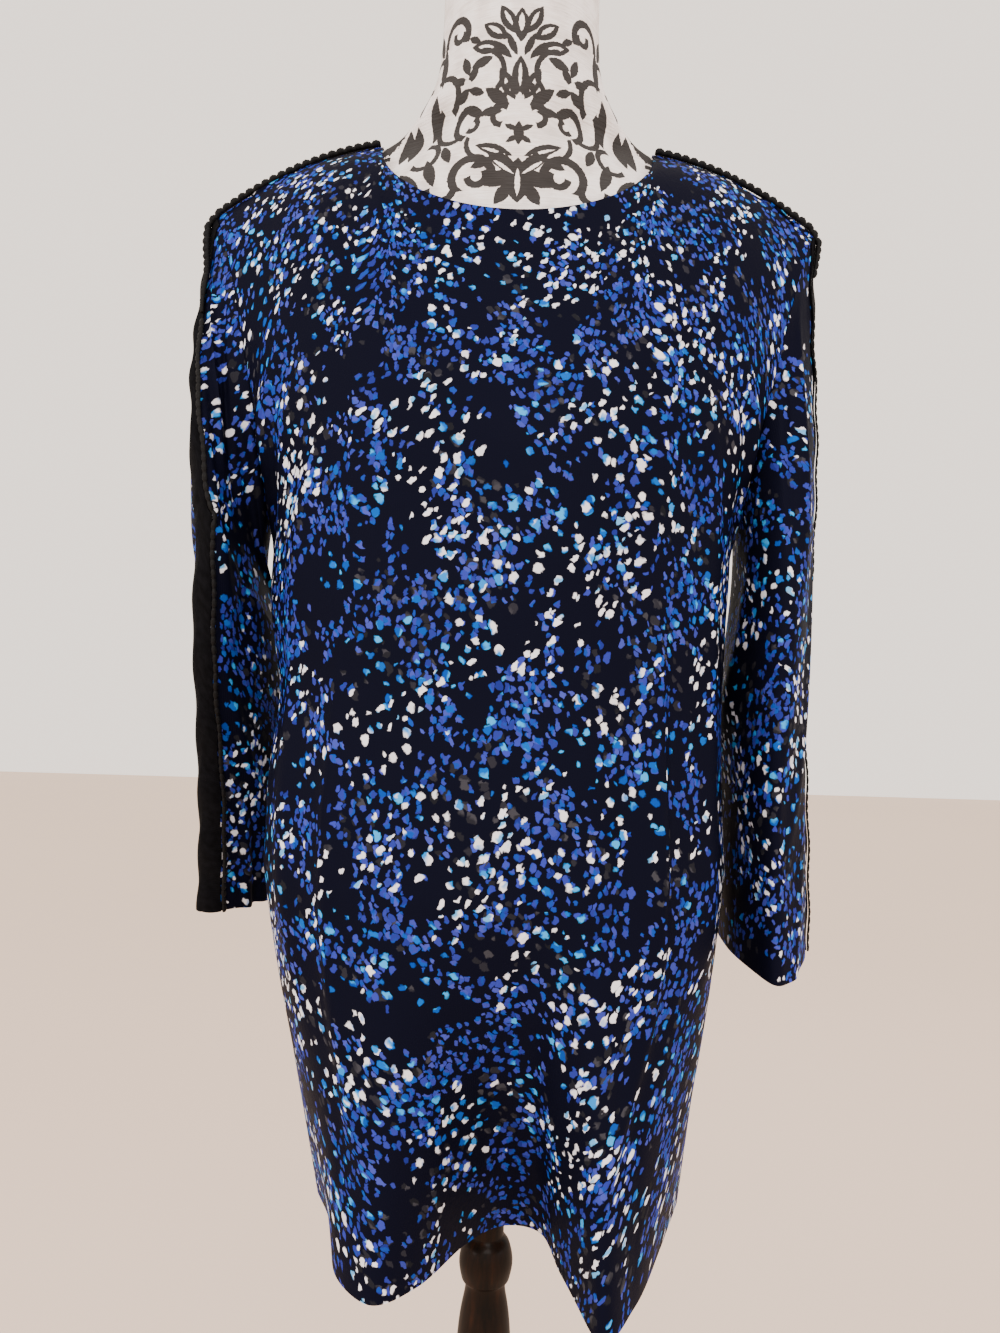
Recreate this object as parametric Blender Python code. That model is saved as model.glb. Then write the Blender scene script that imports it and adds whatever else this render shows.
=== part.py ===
"""Long-sleeve shift dress on a limbless dress form with a turned stand.

Metres, +Z up. The floor is z = 0, the form's axis is the Z axis and the front of
the dress faces -Y. Left and right are as seen from the front, so left is -X.
The cloth pieces are thin walls, 0.3 mm apart where they are sewn together.
"""
import math

import bpy
import bmesh
from mathutils import Vector

# Cloth
WALL = 0.0015
GAP = 0.0003

# Dress heights
HEM_Z = 0.653
HIP_Z = 0.900
UNDERARM_Z = 1.155
SHOULDER_Z = 1.3605
NECK_Z = 1.416
# How far the shoulder seam bows up between its ends, and how soon
SHOULDER_ARCH = 0.0095
ARCH_FULLNESS = 0.8

# Dress widths, measured from the axis
SHOULDER_X = 0.2175
NECK_X = 0.098
ARMHOLE_CENTRE_Z = 1.255

# Front and back neckline: how far it drops below the neck points, how deep it lies
NECKLINE = {"front": (0.076, 0.074), "back": (0.020, 0.062)}

# Level sections of the dress from hip to underarm
BODY_SECTIONS = (
    # height, reach left, reach right, reach front, reach back
    (0.900, 0.167, 0.162, 0.142, 0.125),
    (0.960, 0.165, 0.158, 0.139, 0.120),
    (1.020, 0.158, 0.156, 0.136, 0.113),
    (1.080, 0.164, 0.156, 0.136, 0.111),
    (1.155, 0.171, 0.167, 0.132, 0.112),
)
SECTION_SQUARENESS = 0.92

# Hem seen from above: two lobes with a deep fold between them in front
HEM_TURNS = {
    "front": (
        # share of the width, x, depth
        (0.0000, -0.124, 0.000),
        (0.0900, -0.106, 0.046),
        (0.1875, -0.094, 0.100),
        (0.2600, -0.069, 0.128),
        (0.3400, -0.042, 0.108),
        (0.4300, -0.014, 0.060),
        (0.5000, 0.011, 0.037),
        (0.5650, 0.037, 0.045),
        (0.6300, 0.048, 0.092),
        (0.7100, 0.066, 0.155),
        (0.8125, 0.090, 0.122),
        (0.9100, 0.115, 0.064),
        (1.0000, 0.138, 0.000),
    ),
    "back": (
        (0.0000, -0.124, 0.000),
        (0.1000, -0.113, 0.050),
        (0.2000, -0.093, 0.099),
        (0.3000, -0.062, 0.112),
        (0.4200, -0.028, 0.082),
        (0.5400, 0.010, 0.078),
        (0.6600, 0.047, 0.110),
        (0.7700, 0.083, 0.116),
        (0.8900, 0.118, 0.066),
        (1.0000, 0.138, 0.000),
    ),
}
FOLD_GROWTH = 1.15

# Crisp vertical ridges where the cloth turns to the sides
RIDGE_HEIGHT = 0.005
RIDGE_SPREAD = 0.035
RIDGE_TOP_Z = 1.06

# Curves of the cloth from the underarm level up to the shoulder and neck edges
RISE_HANDLES = {
    "front": (
        # share in from the side, lower: forward, up; upper: inward, forward, down
        (0.000, 0.060, 0.020, 0.0300, 0.056, 0.050),
        (0.200, 0.024, 0.070, 0.008, 0.060, 0.028),
        (0.375, 0.008, 0.090, 0.000, 0.062, 0.020),
        (0.700, 0.005, 0.060, 0.000, 0.022, 0.040),
        (1.000, 0.006, 0.050, 0.000, 0.012, 0.045),
    ),
    "back": (
        (0.000, 0.056, 0.020, 0.0300, 0.054, 0.050),
        (0.200, 0.024, 0.080, 0.008, 0.058, 0.028),
        (0.375, 0.010, 0.110, 0.000, 0.060, 0.018),
        (0.700, 0.006, 0.110, 0.000, 0.036, 0.026),
        (1.000, 0.006, 0.110, 0.000, 0.030, 0.030),
    ),
}

# Grid of the panels: columns over one shoulder seam, columns along the neckline
SHOULDER_COLUMNS = 6
NECK_COLUMNS = {"front": 20, "back": 14}
SHOULDER_SHARE = 0.1875
SHOULDER_ANGLE = 57.0
LOWER_ROWS = 13
UPPER_ROWS = 9

# Empty sleeves hanging beside the body, level sections from cuff to underarm
SLEEVE_SECTIONS = {
    "left": (
        # height, centre from the axis, centre back, half thickness, half depth, turn,
        # thinner in front, top line forward as a share of the way round
        (0.850, 0.1960, 0.074, 0.0200, 0.058, 24.0, 0.0, 0.245),
        (0.950, 0.1920, 0.044, 0.0210, 0.062, 17.0, 0.0, 0.235),
        (1.050, 0.1950, 0.015, 0.0225, 0.068, 7.0, 0.1, 0.220),
        (1.155, 0.2035, 0.004, 0.0230, 0.074, -5.0, 0.2, 0.205),
        (1.300, 0.1990, 0.000, 0.0270, 0.080, 0.0, 0.0, 0.190),
    ),
    "right": (
        (0.830, 0.1975, 0.000, 0.0280, 0.064, -9.0, 0.5, -0.08),
        (0.950, 0.1940, 0.000, 0.0285, 0.067, -8.0, 0.4, -0.08),
        (1.050, 0.1920, 0.000, 0.0280, 0.069, -6.0, 0.3, -0.07),
        (1.155, 0.1975, 0.000, 0.0250, 0.074, -8.0, 0.2, -0.05),
        (1.300, 0.1980, 0.000, 0.0270, 0.080, 0.0, 0.0, -0.01),
    ),
}
# Cuff height and how much lower the cuff's front corner hangs
CUFF = {"left": (0.850, 0.000), "right": (0.8375, 0.0055)}
SLEEVE_ROWS = 12
CROWN_SHARE = 0.42
# How far the sleeve's head stands out past the shoulder seam
CROWN_SWELL = {"left": 0.0085, "right": 0.0}
LOOP_SAMPLES = 96

# Ribbon and braid down the sleeve, distances round the sleeve from its top line
RIBBON_HALF = 0.0135
RIBBON_THICK = 0.0010
SLEEVE_BRAID_WIDE = 0.0030
SLEEVE_BRAID_THICK = 0.0014
CROWN_COLUMN = 0.0120

# Braid on the shoulder seam
SHOULDER_BRAID_HALF = 0.0026
SHOULDER_BRAID_LOW = 0.0010
SHOULDER_BRAID_HIGH = 0.0026
SHOULDER_BRAID_DROP = 0.0010
PICOT_PITCH = 0.0069
BRAID_END = 0.004

# Dress form; a half width of None keeps the ring just under the shoulder seams
FORM_SECTIONS = (
    # height, half width, front, back, depth over the shoulder, pointedness
    (0.862, 0.141, 0.100, 0.098, 0.100, 1.0),
    (0.868, 0.146, 0.106, 0.104, 0.106, 1.0),
    (0.885, 0.153, 0.113, 0.111, 0.113, 1.0),
    (0.920, 0.156, 0.117, 0.115, 0.117, 1.0),
    (0.970, 0.149, 0.113, 0.108, 0.113, 1.0),
    (1.040, 0.131, 0.103, 0.092, 0.103, 1.0),
    (1.100, 0.141, 0.110, 0.095, 0.110, 1.0),
    (1.155, 0.155, 0.121, 0.101, 0.121, 1.0),
    (1.200, 0.164, 0.118, 0.102, 0.118, 1.0),
    (1.250, 0.173, 0.102, 0.099, 0.100, 1.0),
    (1.300, 0.184, 0.082, 0.089, 0.082, 1.0),
    (1.335, 0.191, 0.067, 0.077, 0.064, 1.2),
    (1.355, 0.1935, 0.0615, 0.069, 0.049, 1.4),
    (1.370, 0.1929, 0.0600, 0.065, 0.043, 2.2),
    (1.385, None, 0.0600, 0.062, 0.0225, 2.6),
    (1.400, 0.1340, 0.0590, 0.060, 0.0200, 2.6),
    (1.4137, 0.0978, 0.0585, 0.059, 0.0290, 2.0),
    (1.430, 0.0765, 0.0580, 0.058, 0.052, 1.2),
    (1.455, 0.0620, 0.0575, 0.057, 0.056, 1.0),
    (1.485, 0.0570, 0.0565, 0.056, 0.0565, 1.0),
    (1.540, 0.0560, 0.0560, 0.056, 0.0560, 1.0),
)
FORM_CLEAR = 0.00045
FORM_SIDES = 32
NECK_SHARPNESS = 8

# Turned pieces: height, radius
CAP_PROFILE = (
    (1.5403, 0.0560),
    (1.5440, 0.0580),
    (1.5500, 0.0570),
    (1.5550, 0.0480),
    (1.5570, 0.0300),
)
POST_PROFILE = (
    (0.0243, 0.042),
    (0.0300, 0.042),
    (0.0400, 0.030),
    (0.0700, 0.022),
    (0.1500, 0.018),
    (0.3000, 0.021),
    (0.4500, 0.024),
    (0.5540, 0.0193),
    (0.5890, 0.0145),
    (0.5960, 0.0175),
    (0.6080, 0.0195),
    (0.6200, 0.0170),
    (0.6270, 0.0125),
    (0.8400, 0.0125),
    (0.8480, 0.0450),
    (0.8617, 0.0450),
)
BASE_PROFILE = (
    (0.0000, 0.170),
    (0.0120, 0.172),
    (0.0190, 0.166),
    (0.0240, 0.150),
)
TURNED_SIDES = 24


def start_empty():
    for item in list(bpy.data.objects):
        bpy.data.objects.remove(item, do_unlink=True)


def material(name, colour, roughness, sheen=0.0):
    """Principled material with a plain colour."""
    made = bpy.data.materials.new(name)
    made.use_nodes = True
    shader = made.node_tree.nodes["Principled BSDF"]
    shader.inputs["Base Color"].default_value = (*colour, 1.0)
    shader.inputs["Roughness"].default_value = roughness
    shader.inputs["Metallic"].default_value = 0.0
    shader.inputs["Sheen Weight"].default_value = sheen
    made.diffuse_color = (*colour, 1.0)
    return made


def add_body(name, points, faces, look):
    """Closed body from points and faces, its faces turned outward."""
    mesh = bpy.data.meshes.new(name)
    mesh.from_pydata([tuple(point) for point in points], [], faces)
    shape = bmesh.new()
    shape.from_mesh(mesh)
    bmesh.ops.recalc_face_normals(shape, faces=shape.faces)
    if shape.calc_volume(signed=True) < 0:
        bmesh.ops.reverse_faces(shape, faces=shape.faces)
    shape.to_mesh(mesh)
    shape.free()
    mesh.materials.append(look)
    mesh.shade_smooth()
    mesh.set_sharp_from_angle(angle=math.radians(50))
    body = bpy.data.objects.new(name, mesh)
    bpy.context.scene.collection.objects.link(body)
    return body


def smooth_row(table, key):
    """Row of a table at any key between its first and last, along smooth curves."""
    key = min(max(key, table[0][0]), table[-1][0])
    low = max(i for i in range(len(table) - 1) if table[i][0] <= key)
    span = table[low + 1][0] - table[low][0]
    t = (key - table[low][0]) / span

    def slope(i, column):
        before, after = table[max(i - 1, 0)], table[min(i + 1, len(table) - 1)]
        return (after[column] - before[column]) / (after[0] - before[0])

    values = []
    for column in range(1, len(table[0])):
        start, end = table[low][column], table[low + 1][column]
        leave, arrive = slope(low, column) * span, slope(low + 1, column) * span
        values.append(
            start * (1 + 2 * t) * (1 - t) ** 2
            + leave * t * (1 - t) ** 2
            + end * t * t * (3 - 2 * t)
            + arrive * t * t * (t - 1)
        )
    return values


def soft_step(t):
    t = min(max(t, 0.0), 1.0)
    return t * t * (3 - 2 * t)


def grid_normals(grid, closed):
    """Unit cross products of the column and row directions at each grid point."""
    rows, columns = len(grid), len(grid[0])
    normals = []
    for i in range(rows):
        line = []
        for j in range(columns):
            above, below = grid[min(i + 1, rows - 1)][j], grid[max(i - 1, 0)][j]
            if closed:
                after, before = grid[i][(j + 1) % columns], grid[i][j - 1]
            else:
                after, before = grid[i][min(j + 1, columns - 1)], grid[i][max(j - 1, 0)]
            line.append((after - before).cross(above - below).normalized())
        normals.append(line)
    return normals


def cloth_wall(name, outer, inner, look, closed=False):
    """Closed body between two grids; a closed grid joins its last column to its first."""
    rows, columns = len(outer), len(outer[0])
    points = [point for grid in (outer, inner) for line in grid for point in line]
    inside = rows * columns

    def index(i, j, side=0):
        return side + i * columns + j % columns

    steps = columns if closed else columns - 1
    faces = []
    for i in range(rows - 1):
        for j in range(steps):
            for around in (((i, j), (i, j + 1), (i + 1, j + 1)), ((i, j), (i + 1, j + 1), (i + 1, j))):
                faces.append([index(*corner) for corner in around])
                faces.append([index(*corner, inside) for corner in reversed(around)])
    for i in (0, rows - 1):
        for j in range(steps):
            faces.append([index(i, j), index(i, j + 1), index(i, j + 1, inside), index(i, j, inside)])
    if not closed:
        for j in (0, columns - 1):
            for i in range(rows - 1):
                faces.append([index(i, j), index(i + 1, j), index(i + 1, j, inside), index(i, j, inside)])
    return add_body(name, points, faces, look)


def stacked_body(name, rings, look):
    """Closed body through level rings, with flat ends."""
    count = len(rings[0])
    points = [point for ring in rings for point in ring]
    faces = [list(range(count)), [len(points) - count + j for j in range(count)]]
    for i in range(len(rings) - 1):
        for j in range(count):
            low, after = i * count, (j + 1) % count
            faces.append([low + j, low + after, low + count + after, low + count + j])
    return add_body(name, points, faces, look)


# Front and back

def facing(half):
    """Sign of Y on the front or back half."""
    return -1.0 if half == "front" else 1.0


def column_shares(half):
    """Places of the grid columns across a panel, 0 at the left edge and 1 at the right."""
    middle = NECK_COLUMNS[half]
    left = [SHOULDER_SHARE * i / SHOULDER_COLUMNS for i in range(SHOULDER_COLUMNS)]
    centre = [SHOULDER_SHARE + (1 - 2 * SHOULDER_SHARE) * i / middle for i in range(middle + 1)]
    return left + centre + [1 - share for share in reversed(left)]


def section_angle(share):
    """Angle round the level section, 0 at the left seam and pi at the right one."""
    shoulder = math.radians(SHOULDER_ANGLE)
    if share < SHOULDER_SHARE:
        return shoulder * share / SHOULDER_SHARE
    if share > 1 - SHOULDER_SHARE:
        return math.pi - shoulder * (1 - share) / SHOULDER_SHARE
    middle = (share - SHOULDER_SHARE) / (1 - 2 * SHOULDER_SHARE)
    return shoulder + (math.pi - 2 * shoulder) * middle


def ridge(half, share, height):
    """Height of the crisp vertical ridges of the front."""
    if half == "back" or height >= RIDGE_TOP_Z:
        return 0.0
    near = min(abs(share - SHOULDER_SHARE), abs(1 - share - SHOULDER_SHARE))
    rise = soft_step((RIDGE_TOP_Z - height) / (RIDGE_TOP_Z - HIP_Z))
    return RIDGE_HEIGHT * rise * math.exp(-((near / RIDGE_SPREAD) ** 2))


def skirt_point(half, share, height):
    """Point of the outer face below the underarm."""
    left, right, front, back = smooth_row(BODY_SECTIONS, height)
    angle = section_angle(share)
    across = -math.cos(angle)
    along = facing(half) * abs(math.sin(angle)) ** SECTION_SQUARENESS
    out = ridge(half, share, height)
    x = across * ((left if across < 0 else right) + out)
    y = along * ((front if half == "front" else back) + out)
    if height < HIP_Z:
        hem_x, hem_depth = smooth_row(HEM_TURNS[half], share)
        growth = ((HIP_Z - height) / (HIP_Z - HEM_Z)) ** FOLD_GROWTH
        x += growth * (hem_x - x)
        y += growth * (facing(half) * hem_depth - y)
    return Vector((x, y, height))


def top_edge(half, share):
    """Shoulder seams and neckline."""
    middle = (share - SHOULDER_SHARE) / (1 - 2 * SHOULDER_SHARE)
    if 0 <= middle <= 1:
        drop, depth = NECKLINE[half]
        angle = math.pi * middle
        low = math.sin(angle)
        return Vector((-NECK_X * math.cos(angle), facing(half) * depth * low ** 0.9, NECK_Z - drop * low))
    side = -1.0 if share < 0.5 else 1.0
    along = min(share, 1 - share) / SHOULDER_SHARE
    x = SHOULDER_X + (NECK_X - SHOULDER_X) * along
    return Vector((side * x, 0.0, seam_height(along)))


def seam_height(along):
    """Height of the shoulder seam; along 0 is the shoulder point and 1 the neck point."""
    arch = SHOULDER_ARCH * max(math.sin(math.pi * along), 0.0) ** ARCH_FULLNESS
    return SHOULDER_Z + (NECK_Z - SHOULDER_Z) * along + arch


def seam_down(along):
    """Direction through the cloth at the shoulder seam, as X towards the axis and Z."""
    before, after = max(along - 0.03, 0.0), min(along + 0.03, 1.0)
    inward = (SHOULDER_X - NECK_X) * (after - before)
    rise = seam_height(after) - seam_height(before)
    return rise / math.hypot(rise, inward), -inward / math.hypot(rise, inward)


def yoke_point(half, share, rise):
    """Point of the outer face from the underarm, rise 0, to the top edge, rise 1."""
    start = skirt_point(half, share, UNDERARM_Z)
    end = top_edge(half, share)
    inset = 1 - abs(2 * share - 1)
    low_out, low_up, high_in, high_out, high_down = smooth_row(RISE_HANDLES[half], inset)
    towards_axis = 1.0 if share < 0.5 else -1.0
    leave = start + Vector((0.0, facing(half) * low_out, low_up))
    arrive = end + Vector((towards_axis * high_in, facing(half) * high_out, -high_down))
    t = rise
    return (
        start * (1 - t) ** 3
        + leave * 3 * t * (1 - t) ** 2
        + arrive * 3 * t * t * (1 - t)
        + end * t ** 3
    )


def armhole_inward(point):
    """Direction through the cloth at an armhole seam, shared by panel and sleeve."""
    return Vector((0.0, -point.y, ARMHOLE_CENTRE_Z - point.z)).normalized()


def panel_grids(half):
    """Outer and inner grids of the front or back."""
    shares = column_shares(half)
    heights = [HEM_Z + (UNDERARM_Z - HEM_Z) * i / LOWER_ROWS for i in range(LOWER_ROWS + 1)]
    grid = [[skirt_point(half, share, height) for share in shares] for height in heights]
    for i in range(1, UPPER_ROWS + 1):
        grid.append([yoke_point(half, share, i / UPPER_ROWS) for share in shares])
    inward = [[normal * facing(half) for normal in line] for line in grid_normals(grid, False)]
    last = len(shares) - 1
    for j in range(1, SHOULDER_COLUMNS + 1):
        towards_axis, down = seam_down(shares[j] / SHOULDER_SHARE)
        inward[-1][j] = Vector((towards_axis, 0.0, down))
        inward[-1][last - j] = Vector((-towards_axis, 0.0, down))
    for j, towards_axis in ((0, 1.0), (last, -1.0)):
        for i in range(LOWER_ROWS):
            inward[i][j] = Vector((towards_axis, 0.0, 0.0))
        for i in range(LOWER_ROWS, len(grid)):
            inward[i][j] = armhole_inward(grid[i][j])
    apart = Vector((0.0, facing(half) * GAP / 2, 0.0))
    outer = [[point + apart for point in line] for line in grid]
    inner = [
        [point + direction * WALL for point, direction in zip(line, directions)]
        for line, directions in zip(outer, inward)
    ]
    return outer, inner


def make_panel(half, look):
    outer, inner = panel_grids(half)
    return cloth_wall("dress_" + half, outer, inner, look)


# Sleeves

def outward(side):
    """Sign of X on the left or right."""
    return -1.0 if side == "left" else 1.0


def armhole_point(side, turn):
    """Armhole from the shoulder point, turn 0, down the front, turn 0.5, and up the back."""
    half = "front" if turn <= 0.5 else "back"
    rise = 1 - 2 * turn if half == "front" else 2 * turn - 1
    point = yoke_point(half, 0.0 if side == "left" else 1.0, rise)
    return point + Vector((outward(side) * GAP, 0.0, 0.0))


def sleeve_section(side, turn, height):
    """Point of the flat sleeve tube at a height; turn 0 is its top line, where the ribbon lies."""
    centre_x, centre_y, thick, deep, twist, taper, lead = smooth_row(SLEEVE_SECTIONS[side], height)
    twist = math.radians(twist)
    out = Vector((outward(side) * math.cos(twist), math.sin(twist), 0.0))
    front = Vector((outward(side) * math.sin(twist), -math.cos(twist), 0.0))
    angle = 2 * math.pi * (turn + lead)
    centre = Vector((outward(side) * centre_x, centre_y, height))
    thick *= 1 - taper * math.sin(angle)
    return centre + out * thick * math.cos(angle) + front * deep * math.sin(angle)


def sleeve_point(side, turn, share):
    """Point of the outer face; share 0 is the armhole and 1 the cuff."""
    top = armhole_point(side, turn)
    cuff, front_drop = CUFF[side]
    bottom = cuff - front_drop * math.sin(2 * math.pi * turn)
    height = top.z + (bottom - top.z) * share
    blend = soft_step(share / CROWN_SHARE)
    section = sleeve_section(side, turn, height)
    mixed = top.lerp(section, blend)
    swell = math.sqrt(math.sin(math.pi * min(share / CROWN_SHARE, 1.0))) * (1 + math.cos(2 * math.pi * turn)) / 2
    return Vector((mixed.x + outward(side) * CROWN_SWELL[side] * swell, mixed.y, height))


def point_along(line, distance):
    """Point at a distance along a line of points."""
    for start, end in zip(line, line[1:]):
        step = (end - start).length
        if distance <= step:
            return start.lerp(end, distance / step)
        distance -= step
    return line[-1].copy()


def length_of(line):
    return sum((end - start).length for start, end in zip(line, line[1:]))


def sleeve_grid(side):
    """Rings from armhole to cuff. The first columns carry the ribbon and the braid."""
    turns = [(UPPER_ROWS - i) / UPPER_ROWS for i in range(UPPER_ROWS + 1)]
    seam = [armhole_point(side, 0.5 * (1 - rise)) for rise in turns]
    seam += [armhole_point(side, 1 - 0.5 * (1 - rise)) for rise in reversed(turns[:-1])]
    whole = length_of(seam)
    places = [length_of(seam[:i + 1]) for i in range(1, len(seam) - 1)]
    braid = RIBBON_HALF + GAP
    band = [0.0, RIBBON_HALF, braid, braid + SLEEVE_BRAID_WIDE]
    grid = []
    for row in range(SLEEVE_ROWS + 1):
        share = row / SLEEVE_ROWS
        line = seam
        if row:
            line = [sleeve_point(side, i / LOOP_SAMPLES, share) for i in range(LOOP_SAMPLES + 1)]
        round_length = length_of(line)
        first = places[0] + (band[-1] + CROWN_COLUMN - places[0]) * share
        last = whole - places[-1] + (RIBBON_HALF + CROWN_COLUMN - whole + places[-1]) * share
        stretch = (round_length - last - first) / (places[-1] - places[0])
        distances = band + [first + (place - places[0]) * stretch for place in places]
        distances.append(round_length - RIBBON_HALF)
        grid.append([point_along(line, distance) for distance in distances])
    return grid


def sleeve_normals(side, grid):
    """Directions into the sleeve at each grid point."""
    return [[normal * -outward(side) for normal in line] for line in grid_normals(grid, True)]


def make_sleeve(side, look):
    grid = sleeve_grid(side)
    inward = sleeve_normals(side, grid)
    inward[0] = [armhole_inward(point) for point in grid[0]]
    inner = [
        [point + direction * WALL for point, direction in zip(line, directions)]
        for line, directions in zip(grid, inward)
    ]
    return cloth_wall("sleeve_" + side, grid, inner, look, closed=True)


def laid_on_sleeve(name, side, columns, thick, look):
    """Strip made from columns of the sleeve's points, moved out."""
    grid = sleeve_grid(side)
    inward = sleeve_normals(side, grid)
    under, over = [], []
    for line, directions in zip(grid, inward):
        under.append([line[j] - directions[j] * GAP for j in columns])
        over.append([line[j] - directions[j] * (GAP + thick) for j in columns])
    return cloth_wall(name, over, under, look)


def make_shoulder_braid(side, look):
    """Scalloped braid standing on the shoulder seam."""
    sign = outward(side)
    length = math.hypot(SHOULDER_X - NECK_X, NECK_Z - SHOULDER_Z)
    picots = int((length - 2 * BRAID_END) / PICOT_PITCH)
    stations = 2 * picots
    under, over = [], []
    for i in range(stations + 1):
        share = (BRAID_END + (length - 2 * BRAID_END) * i / stations) / length
        towards_axis, down = seam_down(1 - share)
        up = Vector((sign * towards_axis, 0.0, -down))
        x = NECK_X + (SHOULDER_X - NECK_X) * share
        base = Vector((sign * x, 0.0, seam_height(1 - share))) + up * GAP
        height = SHOULDER_BRAID_HIGH if i % 2 else SHOULDER_BRAID_LOW
        edge = Vector((0.0, SHOULDER_BRAID_HALF, 0.0))
        lower = base - up * SHOULDER_BRAID_DROP
        under.append([lower - edge, base, lower + edge])
        over.append([lower - edge + up * SHOULDER_BRAID_LOW, base + up * height,
                     lower + edge + up * SHOULDER_BRAID_LOW])
    return cloth_wall("braid_shoulder_" + side, over, under, look)


# Form and stand

def seam_reach(height):
    """Half width of the form that lies just under the cloth of the shoulder seams."""
    along = 0.0
    while seam_height(along) - (WALL + FORM_CLEAR) / -seam_down(along)[1] < height:
        along += 0.002
    return SHOULDER_X + (NECK_X - SHOULDER_X) * along


def form_ring(height, half_width, front, back, shoulder, pointed):
    """Level ring of the form: a flat oval over the shoulders with the neck in its middle."""
    ring = []
    if half_width is None:
        half_width = seam_reach(height)
    for i in range(FORM_SIDES):
        angle = 2 * math.pi * i / FORM_SIDES
        sine = math.sin(angle)
        reach = back if sine > 0 else front
        flat = min(shoulder, reach)
        depth = flat * abs(sine) ** pointed + (reach - flat) * abs(sine) ** NECK_SHARPNESS
        ring.append(Vector((half_width * math.cos(angle), math.copysign(depth, sine), height)))
    return ring


def make_form(look):
    return stacked_body("form_body", [form_ring(*row) for row in FORM_SECTIONS], look)


def make_turned(name, profile, look):
    """Body of revolution round the Z axis."""
    rings = []
    for height, radius in profile:
        angles = [2 * math.pi * i / TURNED_SIDES for i in range(TURNED_SIDES)]
        rings.append([Vector((radius * math.cos(a), radius * math.sin(a), height)) for a in angles])
    return stacked_body(name, rings, look)


start_empty()

printed = material("printed satin", (0.028, 0.036, 0.085), 0.42, 0.3)
ribbon = material("black ribbon", (0.008, 0.008, 0.010), 0.5)
braid = material("black braid", (0.006, 0.006, 0.007), 0.65)
cover = material("form cover", (0.72, 0.68, 0.62), 0.85)
wood = material("dark wood", (0.022, 0.011, 0.008), 0.35)

for half in ("front", "back"):
    make_panel(half, printed)
for side in ("left", "right"):
    make_sleeve(side, printed)
    laid_on_sleeve("sleeve_band_" + side, side, (-1, 0, 1), RIBBON_THICK, ribbon)
    laid_on_sleeve("braid_sleeve_" + side, side, (2, 3), SLEEVE_BRAID_THICK, braid)
    make_shoulder_braid(side, braid)
make_form(cover)
make_turned("form_cap", CAP_PROFILE, wood)
make_turned("stand_post", POST_PROFILE, wood)
make_turned("stand_base", BASE_PROFILE, wood)
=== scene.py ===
import math

import bpy
import numpy as np
from mathutils import Euler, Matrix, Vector
from mathutils.bvhtree import BVHTree


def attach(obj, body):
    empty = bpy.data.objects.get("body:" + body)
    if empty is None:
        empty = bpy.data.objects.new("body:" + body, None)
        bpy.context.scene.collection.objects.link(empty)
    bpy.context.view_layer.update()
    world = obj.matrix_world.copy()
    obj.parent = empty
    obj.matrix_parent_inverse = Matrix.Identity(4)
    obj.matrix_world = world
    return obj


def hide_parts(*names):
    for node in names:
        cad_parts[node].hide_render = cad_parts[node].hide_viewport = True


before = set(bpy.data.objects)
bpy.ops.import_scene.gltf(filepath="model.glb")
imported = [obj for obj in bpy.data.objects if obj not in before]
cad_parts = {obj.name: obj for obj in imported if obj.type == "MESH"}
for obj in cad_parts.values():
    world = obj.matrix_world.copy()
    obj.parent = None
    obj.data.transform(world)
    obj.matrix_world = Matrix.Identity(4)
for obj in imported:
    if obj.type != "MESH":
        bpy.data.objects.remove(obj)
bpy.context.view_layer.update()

# Camera: a phone held at the height of the waist, close to the dress, a little tilted.
# It is made first, because everything else is judged through it.
VIEW_HEIGHT = 1.04
VIEW_DISTANCE = 0.73
VIEW_ASIDE = -0.0022
VIEW_ROLL = math.radians(-1.66)
PHONE_LENS = 27.03

camera = bpy.data.objects.new("camera", bpy.data.cameras.new("camera"))
camera.data.lens = PHONE_LENS
camera.data.sensor_width = 36.0
camera.data.clip_start = 0.02
camera.location = (VIEW_ASIDE, -VIEW_DISTANCE, VIEW_HEIGHT)
camera.rotation_euler = Euler((math.pi / 2, VIEW_ROLL, 0.0), "XYZ")
bpy.context.scene.collection.objects.link(camera)
bpy.context.scene.camera = camera


# Floor and light: a plain pale studio floor, a wide soft lamp over the camera, one on
# each side and a weak one behind, in an even pale surround.
def linear(colour):
    """Linear RGBA of an sRGB hex value."""
    parts = [int(colour[i:i + 2], 16) / 255 for i in (1, 3, 5)]
    return (*[p / 12.92 if p <= 0.04045 else ((p + 0.055) / 1.055) ** 2.4 for p in parts], 1.0)


def add(tree, kind, inputs=None, stops=None, **settings):
    """Adds a node. Inputs are values, sockets or nodes that feed them; stops are a ramp's colours."""
    made = tree.nodes.new("ShaderNode" + kind)
    for name, value in settings.items():
        setattr(made, name, value)
    for key, value in (inputs or {}).items():
        value = value.outputs[0] if isinstance(value, bpy.types.Node) else value
        if isinstance(value, bpy.types.NodeSocket):
            tree.links.new(value, made.inputs[key])
        else:
            made.inputs[key].default_value = value
    for i, (place, colour) in enumerate(stops or ()):
        stop = made.color_ramp.elements[i] if i < 2 else made.color_ramp.elements.new(place)
        stop.position = place
        stop.color = linear(colour)
    return made


def colour_and_relief(tree, shader, colour, height, strength, distance):
    """Links a material's colour and its fine relief to its shader."""
    bump = add(tree, "Bump", {"Strength": strength, "Distance": distance, "Height": height})
    tree.links.new(colour, shader.inputs["Base Color"])
    tree.links.new(bump.outputs[0], shader.inputs["Normal"])


def surface(name, **values):
    """New material's node tree and shader, with the shader's own values set."""
    made = bpy.data.materials.new(name)
    made.use_nodes = True
    shader = made.node_tree.nodes["Principled BSDF"]
    for key, value in values.items():
        shader.inputs[key.replace("_", " ")].default_value = value
    return made, made.node_tree, shader


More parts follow.
